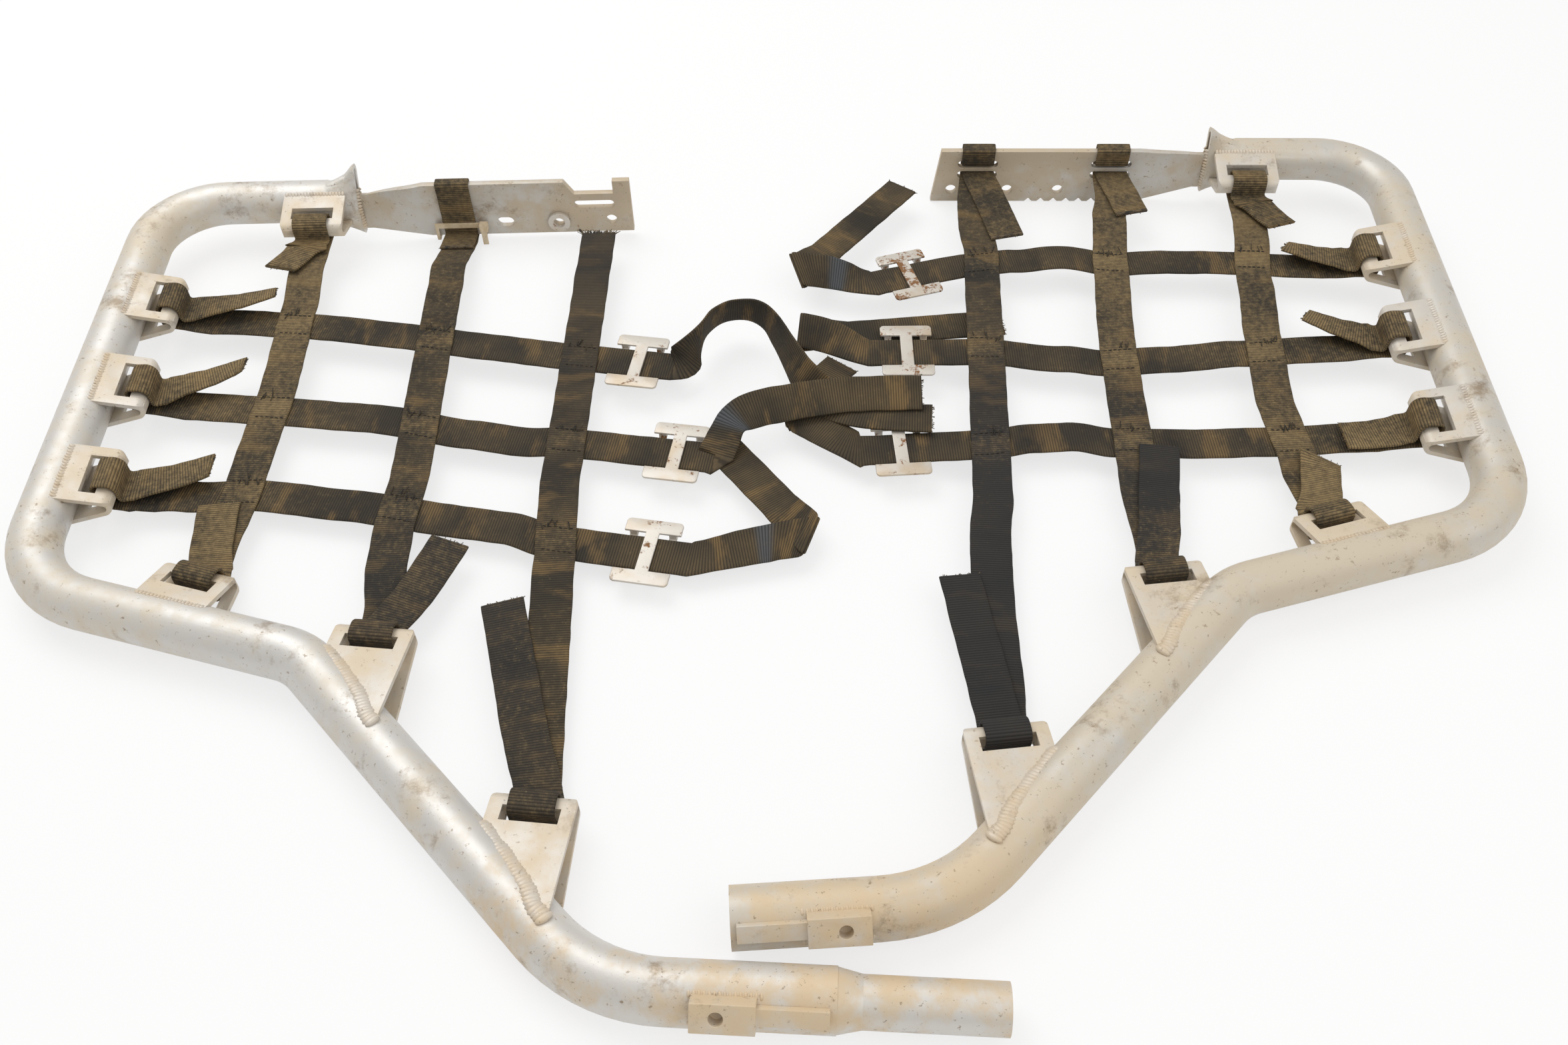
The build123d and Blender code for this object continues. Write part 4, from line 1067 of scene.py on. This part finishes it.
def refinish(node, finish):
    """Give a solid that is shown as it is its finish."""
    node.data.materials.clear()
    node.data.materials.append(finish)


LUG_EDGE = 0.9
PLATE_EDGE = 0.8
BUCKLE_EDGE = 0.45
RUSTY_BUCKLE = "right_buckle_1"
SOFT = {"lug": (LUG_EDGE, "lug", LUG_FINISH), "plate": (PLATE_EDGE, "plate", PLATE_FINISH),
        "frame_tab": (LUG_EDGE, "tube", LUG_FINISH), "buckle": (BUCKLE_EDGE, "buckle", STEEL_FINISH),
        "weld_nut": (BUCKLE_EDGE, "nut", STEEL_FINISH)}
for name, node in list(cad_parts.items()):
    side = name.split("_")[0]
    for word, (width, slot, finish) in SOFT.items():
        if word in name:
            finish = RUSTY_FINISH if name == RUSTY_BUCKLE else finish
            dressed(name, side, name if word == "buckle" else f"{side}_bar", slot, finish, width)
    if name.endswith("_tube"):
        dressed(name, side, f"{side}_bar", "tube", TUBE_FINISH[side])
    if name.endswith(("spigot", "end_socket")):
        refinish(node, TUBE_FINISH[side])
    if name.endswith("cable_tie"):
        refinish(node, TIE_FINISH)


# Weld beads and threads, grown along lines by geometry trees
def new_tree(name, sizes):
    """Geometry tree with lines, named sizes and a finish as inputs, and the outputs of its input node."""
    tree = bpy.data.node_groups.new(name, "GeometryNodeTree")
    tree.interface.new_socket("Lines", in_out="INPUT", socket_type="NodeSocketGeometry")
    for label, value in sizes.items():
        kind = "NodeSocketInt" if isinstance(value, int) else "NodeSocketFloat"
        tree.interface.new_socket(label, in_out="INPUT", socket_type=kind).default_value = value
    tree.interface.new_socket("Finish", in_out="INPUT", socket_type="NodeSocketMaterial")
    tree.interface.new_socket("Result", in_out="OUTPUT", socket_type="NodeSocketGeometry")
    start = tree.nodes.new("NodeGroupInput").outputs
    return tree, start


def join(tree, *pairs):
    """Link sockets of a tree, each pair from an output to an input."""
    for source, target in pairs:
        tree.links.new(source, target)


def on_lines(tree, name, kind):
    """Value that the guide lines carry under a name."""
    reader = tree.nodes.new("GeometryNodeInputNamedAttribute")
    reader.data_type = kind
    reader.inputs["Name"].default_value = name
    return reader.outputs["Attribute"]


def close_tree(tree, start, made):
    """Realise what a tree made, shade it smooth and give it its finish."""
    realise = tree.nodes.new("GeometryNodeRealizeInstances")
    smooth = tree.nodes.new("GeometryNodeSetShadeSmooth")
    finish = tree.nodes.new("GeometryNodeSetMaterial")
    end = tree.nodes.new("NodeGroupOutput")
    join(tree,
         (made, realise.inputs["Geometry"]),
         (realise.outputs["Geometry"], smooth.inputs["Geometry"]),
         (smooth.outputs["Geometry"], finish.inputs["Geometry"]),
         (start["Finish"], finish.inputs["Material"]),
         (finish.outputs["Geometry"], end.inputs["Result"]))


def bead_tree():
    """Overlapping flattened beads along weld lines, each standing on the metal under it."""
    tree, start = new_tree("weld_beads", {"Pitch": BEAD_PITCH * MM, "Seed": BEAD_SEED})
    add = tree.nodes.new
    curve = add("GeometryNodeMeshToCurve")
    spaced = add("GeometryNodeResampleCurve")
    spaced.mode = "LENGTH"
    ball = add("GeometryNodeMeshIcoSphere")
    ball.inputs["Radius"].default_value = 1.0
    ball.inputs["Subdivisions"].default_value = 2
    stand = add("FunctionNodeAlignRotationToVector")
    stand.axis = "Z"
    turn = add("FunctionNodeAlignRotationToVector")
    turn.axis = "X"
    turn.pivot_axis = "Z"
    shape = add("FunctionNodeRandomValue")
    shape.data_type = "FLOAT_VECTOR"
    shape.inputs[0].default_value = BEAD_SMALL
    shape.inputs[1].default_value = BEAD_LARGE
    size = add("ShaderNodeVectorMath")
    size.operation = "MULTIPLY"
    beads = add("GeometryNodeInstanceOnPoints")
    join(tree,
         (start["Lines"], curve.inputs["Mesh"]),
         (curve.outputs["Curve"], spaced.inputs["Curve"]),
         (start["Pitch"], spaced.inputs["Length"]),
         (on_lines(tree, "outward", "FLOAT_VECTOR"), stand.inputs["Vector"]),
         (stand.outputs["Rotation"], turn.inputs["Rotation"]),
         (add("GeometryNodeInputTangent").outputs["Tangent"], turn.inputs["Vector"]),
         (start["Seed"], shape.inputs["Seed"]),
         (shape.outputs[0], size.inputs[0]),
         (on_lines(tree, "breadth", "FLOAT"), size.inputs[1]),
         (spaced.outputs["Curve"], beads.inputs["Points"]),
         (ball.outputs["Mesh"], beads.inputs["Instance"]),
         (turn.outputs["Rotation"], beads.inputs["Rotation"]),
         (size.outputs["Vector"], beads.inputs["Scale"]))
    close_tree(tree, start, beads.outputs["Instances"])
    return tree


def thread_tree():
    """Round threads along lines."""
    tree, start = new_tree("threads", {"Radius": THREAD_R * MM})
    curve = tree.nodes.new("GeometryNodeMeshToCurve")
    ring = tree.nodes.new("GeometryNodeCurvePrimitiveCircle")
    ring.inputs["Resolution"].default_value = 6
    sweep = tree.nodes.new("GeometryNodeCurveToMesh")
    sweep.inputs["Fill Caps"].default_value = True
    join(tree,
         (start["Lines"], curve.inputs["Mesh"]),
         (start["Radius"], ring.inputs["Radius"]),
         (curve.outputs["Curve"], sweep.inputs["Curve"]),
         (ring.outputs["Curve"], sweep.inputs["Profile Curve"]))
    close_tree(tree, start, sweep.outputs["Mesh"])
    return tree


def grown(name, side, lines, tree, sizes, finish):
    """Plain mesh that a tree grows along lines of (point, outward, breadth) in the bar frame."""
    guide_mesh = bpy.data.meshes.new(f"{name}_lines")
    points, edges = [], []
    for line in lines:
        edges += [(len(points) + k, len(points) + k + 1) for k in range(len(line) - 1)]
        points += line
    guide_mesh.from_pydata([LAY[side] @ spot for spot, _, _ in points], edges, [])
    guide_mesh.attributes.new("outward", "FLOAT_VECTOR", "POINT")
    guide_mesh.attributes.new("breadth", "FLOAT", "POINT")
    outward = guide_mesh.attributes["outward"].data
    breadth = guide_mesh.attributes["breadth"].data
    for k, (_, facing, half) in enumerate(points):
        outward[k].vector = (LAY[side].to_3x3() @ facing).normalized()
        breadth[k].value = half * MM
    guide = placed(f"{name}_lines", guide_mesh)
    grower = guide.modifiers.new("grow", "NODES")
    grower.node_group = tree
    for socket in tree.interface.items_tree:
        if socket.in_out == "INPUT" and socket.name in sizes:
            grower[socket.identifier] = sizes[socket.name]
        if socket.name == "Finish":
            grower[socket.identifier] = finish
    bpy.context.view_layer.update()
    seen = guide.evaluated_get(bpy.context.evaluated_depsgraph_get())
    mesh = bpy.data.meshes.new_from_object(seen)
    mesh.name = name
    guide.modifiers.remove(grower)
    bpy.data.objects.remove(guide)
    piece = placed(name, mesh)
    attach(piece, f"{side}_bar")


def straight_lug_welds(side):
    """Weld lines where the leaves of each square lug meet the tube, above and below."""
    places = [(Vector((0, y, 0)), 0.0) for y in OUTER_LUGS_Y]
    places.append((TOP_RUN * TOP_LUG_AT[side], TOP_RUN_ANGLE - 90))
    places.append((flat(FRONT) + heading(LOWER_ANGLE) * LOWER_LUG_AT[side], LOWER_ANGLE + 90))
    rise = math.sqrt(TUBE_R**2 - WELD_OUT**2)
    lines = []
    for axis, outward in places:
        for up in (1, -1):
            facing = heading(outward) * WELD_OUT + UP * (up * rise)
            line = []
            for step in range(WELD_STEPS + 1):
                place = (step / WELD_STEPS - 0.5) * (LUG_WIDTH - LUG_BEAD_INSET)
                aside = heading(outward + 90) * place
                line.append((axis + facing * WELD_SINK + aside, facing, LUG_BEAD))
            lines.append(line)
    return lines


def slant_lug_welds():
    """Weld lines where the spreading leaves of the slanted lugs land on the tube."""
    across_tube = heading(angle_of(KNEE, FOOT) + 90)
    slope = math.tan(math.radians(SLANT_SPREAD))
    lines = []
    for nose in SLANT_NOSES:
        for up in (1, -1):
            line = []
            for step in range(WELD_STEPS + 1):
                place = (step / WELD_STEPS - 0.5) * (LUG_WIDTH - SLANT_BEAD_INSET)
                aside = heading(SLANT_ANGLE + 90) * place
                for back in range(round(SLANT_LEAF)):
                    spot = flat(nose) + aside - heading(SLANT_ANGLE) * back
                    out = (spot - flat(KNEE)).dot(across_tube)
                    height = NOSE_R + back * slope
                    if out <= LUG_ROOT or height < math.sqrt(max(0.0, TUBE_R**2 - out**2)):
                        break
                facing = across_tube * (SLANT_FACING * out) + UP * (up * height)
                line.append((spot + UP * (up * (height - SLANT_SINK[up])), facing, SLANT_BEAD[up]))
            lines.append(line)
    return lines


def mouth_welds(side):
    """Weld lines down both faces of the plate's neck where it leaves the crushed mouth."""
    lines = []
    for face in (1, -1):
        line = []
        for step in range(WELD_STEPS + 1):
            height = MOUTH_WELD_FROM + MOUTH_WELD_RISE * step / WELD_STEPS
            out = PLATE_SET_FORWARD + face * (PLATE_T / 2 + MOUTH_WELD_OFF)
            spot = TOP_RUN * (MOUTH_AT[side] + MOUTH_WELD_OFF) + TOP_FORWARD * out + UP * height
            line.append((leaned(spot, side, True), TOP_FORWARD * face + TOP_RUN, MOUTH_BEAD))
        lines.append(line)
    return lines


def tab_welds(side):
    """Weld lines along both sides of the frame tab on the end run."""
    end = flat(FOOT) + heading(END_RUN_ANGLE) * END_RUN[side]
    back = heading(END_RUN_ANGLE + 180)
    lift = math.radians(TAB_LIFT)
    out = heading(END_RUN_ANGLE - 90) * math.cos(lift) + UP * math.sin(lift)
    lean = math.asin(TAB_HEIGHT / 2 / TUBE_R)
    lines = []
    for turn in (lean, -lean):
        facing = Matrix.Rotation(turn, 3, back) @ out
        seat = facing * (TUBE_R - TAB_BEAD_SINK)
        reach = (TAB_FROM_END - TAB_BEAD_BEFORE, TAB_FROM_END + TAB_LENGTH + TAB_BEAD_AFTER)
        lines.append([(end + back * place + seat, facing, TAB_BEAD) for place in reach])
    return lines


def thread(base, way, length, arch):
    """Short curved thread from a base point along a way."""
    tip = base + way.normalized() * length
    middle = base.lerp(tip, 0.5) + UP * arch
    return [(spot, UP, 1.0) for spot in (base, middle, tip)]


def sewing_threads(side):
    """Stitches and loose thread ends at each sewn crossing of the net."""
    draw = random.Random(SEWING_SEED[side])
    lines = []
    for crossing in CROSSINGS:
        if not crossing.long_node.startswith(side):
            continue
        along, aside = crossing.along, crossing.aside
        top = crossing.point + UP * (WEB_T / 2 + STITCH_LIFT)
        for edge in (1, -1):
            for stitch in range(STITCHES):
                shift = (stitch - (STITCHES - 1) / 2) * STITCH_PITCH
                base = top + aside * shift + along * (edge * STITCH_ROW)
                way = aside + along * draw.uniform(*STITCH_SKEW)
                lines.append(thread(base, way, STITCH_LENGTH, STITCH_ARCH))
        for _ in range(draw.randint(*LOOSE_ENDS)):
            base = top + aside * draw.uniform(*LOOSE_ASIDE) + along * draw.uniform(*LOOSE_ALONG)
            way = along + aside * draw.uniform(*LOOSE_SKEW) + UP * draw.uniform(*LOOSE_RISE)
            lines.append(thread(base, way, draw.uniform(*LOOSE_LENGTH), LOOSE_ARCH))
    return lines


def frayed_fibres(side):
    """Fibres at the cut ends of every strap, most on the worn free end of the left bar's last long strap."""
    draw = random.Random(FRAY_SEED[side])
    lines = []
    for node, run in RUNS.items():
        if not node.startswith(side):
            continue
        for (point, across), (before, _) in ((run[0], run[1]), (run[-1], run[-2])):
            worn = node == "left_long_strap_3" and point == run[-1][0]
            way = (point - before).normalized()
            for _ in range(WORN_FIBRES if worn else TIP_FIBRES):
                place = draw.uniform(*FIBRE_ACROSS)
                base = point + across * (place * WEB_WIDTH / 2) + UP * draw.uniform(*FIBRE_LEVEL)
                base -= way * FIBRE_ROOT
                outward = CORNER_SPREAD * place if abs(place) > CORNER_FROM else 0.0
                spread = across * (draw.uniform(*FIBRE_SPREAD) + outward)
                length = draw.uniform(*(WORN_LENGTH if worn else TIP_LENGTH))
                if worn and abs(place) > WORN_CORNER:
                    length += WORN_CORNER_LENGTH
                lift = UP * draw.uniform(*FIBRE_RISE)
                lines.append(thread(base, way + spread + lift, length, FIBRE_ARCH))
    return lines


def hem_rolls(side):
    """Thick rolled ends on the tails that hang at the mount plate."""
    names = {"left": ("left_long_strap_2",), "right": ("right_long_strap_2", "right_long_strap_3")}
    lines = []
    for node in names[side]:
        point, across = RUNS[node][-1]
        inward = (RUNS[node][-2][0] - point).normalized()
        edge = across * (WEB_WIDTH / 2 - HEM_EDGE)
        base = point + inward * HEM_INSET
        lines.append([(base + edge * share + UP * rise, UP, 1.0) for share, rise in HEM_LINE])
    return lines


BEADS = bead_tree()
THREADS = thread_tree()
THREADED = {"sewing_threads": (sewing_threads, THREAD_R, THREAD_FINISH),
            "frayed_fibres": (frayed_fibres, FIBRE_R, FIBRE_FINISH),
            "hem_rolls": (hem_rolls, HEM_R, FIBRE_FINISH)}
for side in SIDES:
    welds = straight_lug_welds(side) + slant_lug_welds() + mouth_welds(side) + tab_welds(side)
    grown(f"{side}_weld_beads", side, welds, BEADS, {"Pitch": BEAD_PITCH * MM}, WELD_FINISH)
    for kind, (lines_of, radius, finish) in THREADED.items():
        grown(f"{side}_{kind}", side, lines_of(side), THREADS, {"Radius": radius * MM}, finish)


# Floor, light and camera
def pale_floor():
    """White floor that takes soft shadows and glows to the camera, to look as pale as the photograph's."""
    mesh = bpy.data.meshes.new("floor")
    corners = [(x * FLOOR_HALF, y * FLOOR_HALF, 0) for x, y in ((-1, -1), (1, -1), (1, 1), (-1, 1))]
    mesh.from_pydata(corners, [], [(0, 1, 2, 3)])
    floor = placed("floor", mesh)
    paper = Finish("pale_floor", roughness=0.9)
    paper.shader.inputs["Base Color"].default_value = FLOOR_COLOUR
    paper.shader.inputs["Specular IOR Level"].default_value = 0.0
    glow = paper.nodes.new("ShaderNodeEmission")
    glow.inputs["Color"].default_value = (1, 1, 1, 1)
    blend = paper.nodes.new("ShaderNodeMixShader")
    path = paper.nodes.new("ShaderNodeLightPath")
    seen = paper.math("MAXIMUM", path.outputs["Is Camera Ray"], path.outputs["Is Glossy Ray"])
    seen = paper.math("MAXIMUM", seen, path.outputs["Is Transmission Ray"])
    paper.links.new(paper.math("MULTIPLY", seen, FLOOR_GLOW), blend.inputs[0])
    paper.links.new(paper.shader.outputs[0], blend.inputs[1])
    paper.links.new(glow.outputs[0], blend.inputs[2])
    paper.links.new(blend.outputs[0], paper.nodes["Material Output"].inputs["Surface"])
    mesh.materials.append(paper.material)


def lamp(name, size, power, place):
    """Square lamp that faces the middle of the floor."""
    light = bpy.data.lights.new(name, "AREA")
    light.size = size
    light.energy = power
    holder = placed(name, light)
    holder.location = place
    holder.rotation_euler = (-Vector(place)).to_track_quat("-Z", "Y").to_euler()


def studio():
    """Plain colours, an even sky and the lamps."""
    scene = bpy.context.scene
    scene.view_settings.view_transform = "Standard"
    world = bpy.data.worlds.new("studio")
    scene.world = world
    world.use_nodes = True
    sky = world.node_tree.nodes["Background"]
    sky.inputs["Color"].default_value = SKY_COLOUR
    sky.inputs["Strength"].default_value = SKY_STRENGTH
    for name, (size, power, place) in LAMPS.items():
        lamp(name, size, power, place)


def photo_camera():
    """Camera that sees the bars as the photograph does."""
    lens = bpy.data.cameras.new("camera")
    lens.sensor_width = CAMERA_SENSOR
    lens.lens = CAMERA_LENS
    lens.clip_start = CAMERA_NEAR
    holder = placed("camera", lens)
    pitch = Matrix.Rotation(math.radians(90.0 - CAMERA_DIP), 4, "X")
    roll = Matrix.Rotation(math.radians(CAMERA_ROLL), 4, "Z")
    holder.matrix_world = Matrix.Translation(CAMERA_PLACE) @ pitch @ roll
    bpy.context.scene.camera = holder


pale_floor()
studio()
photo_camera()
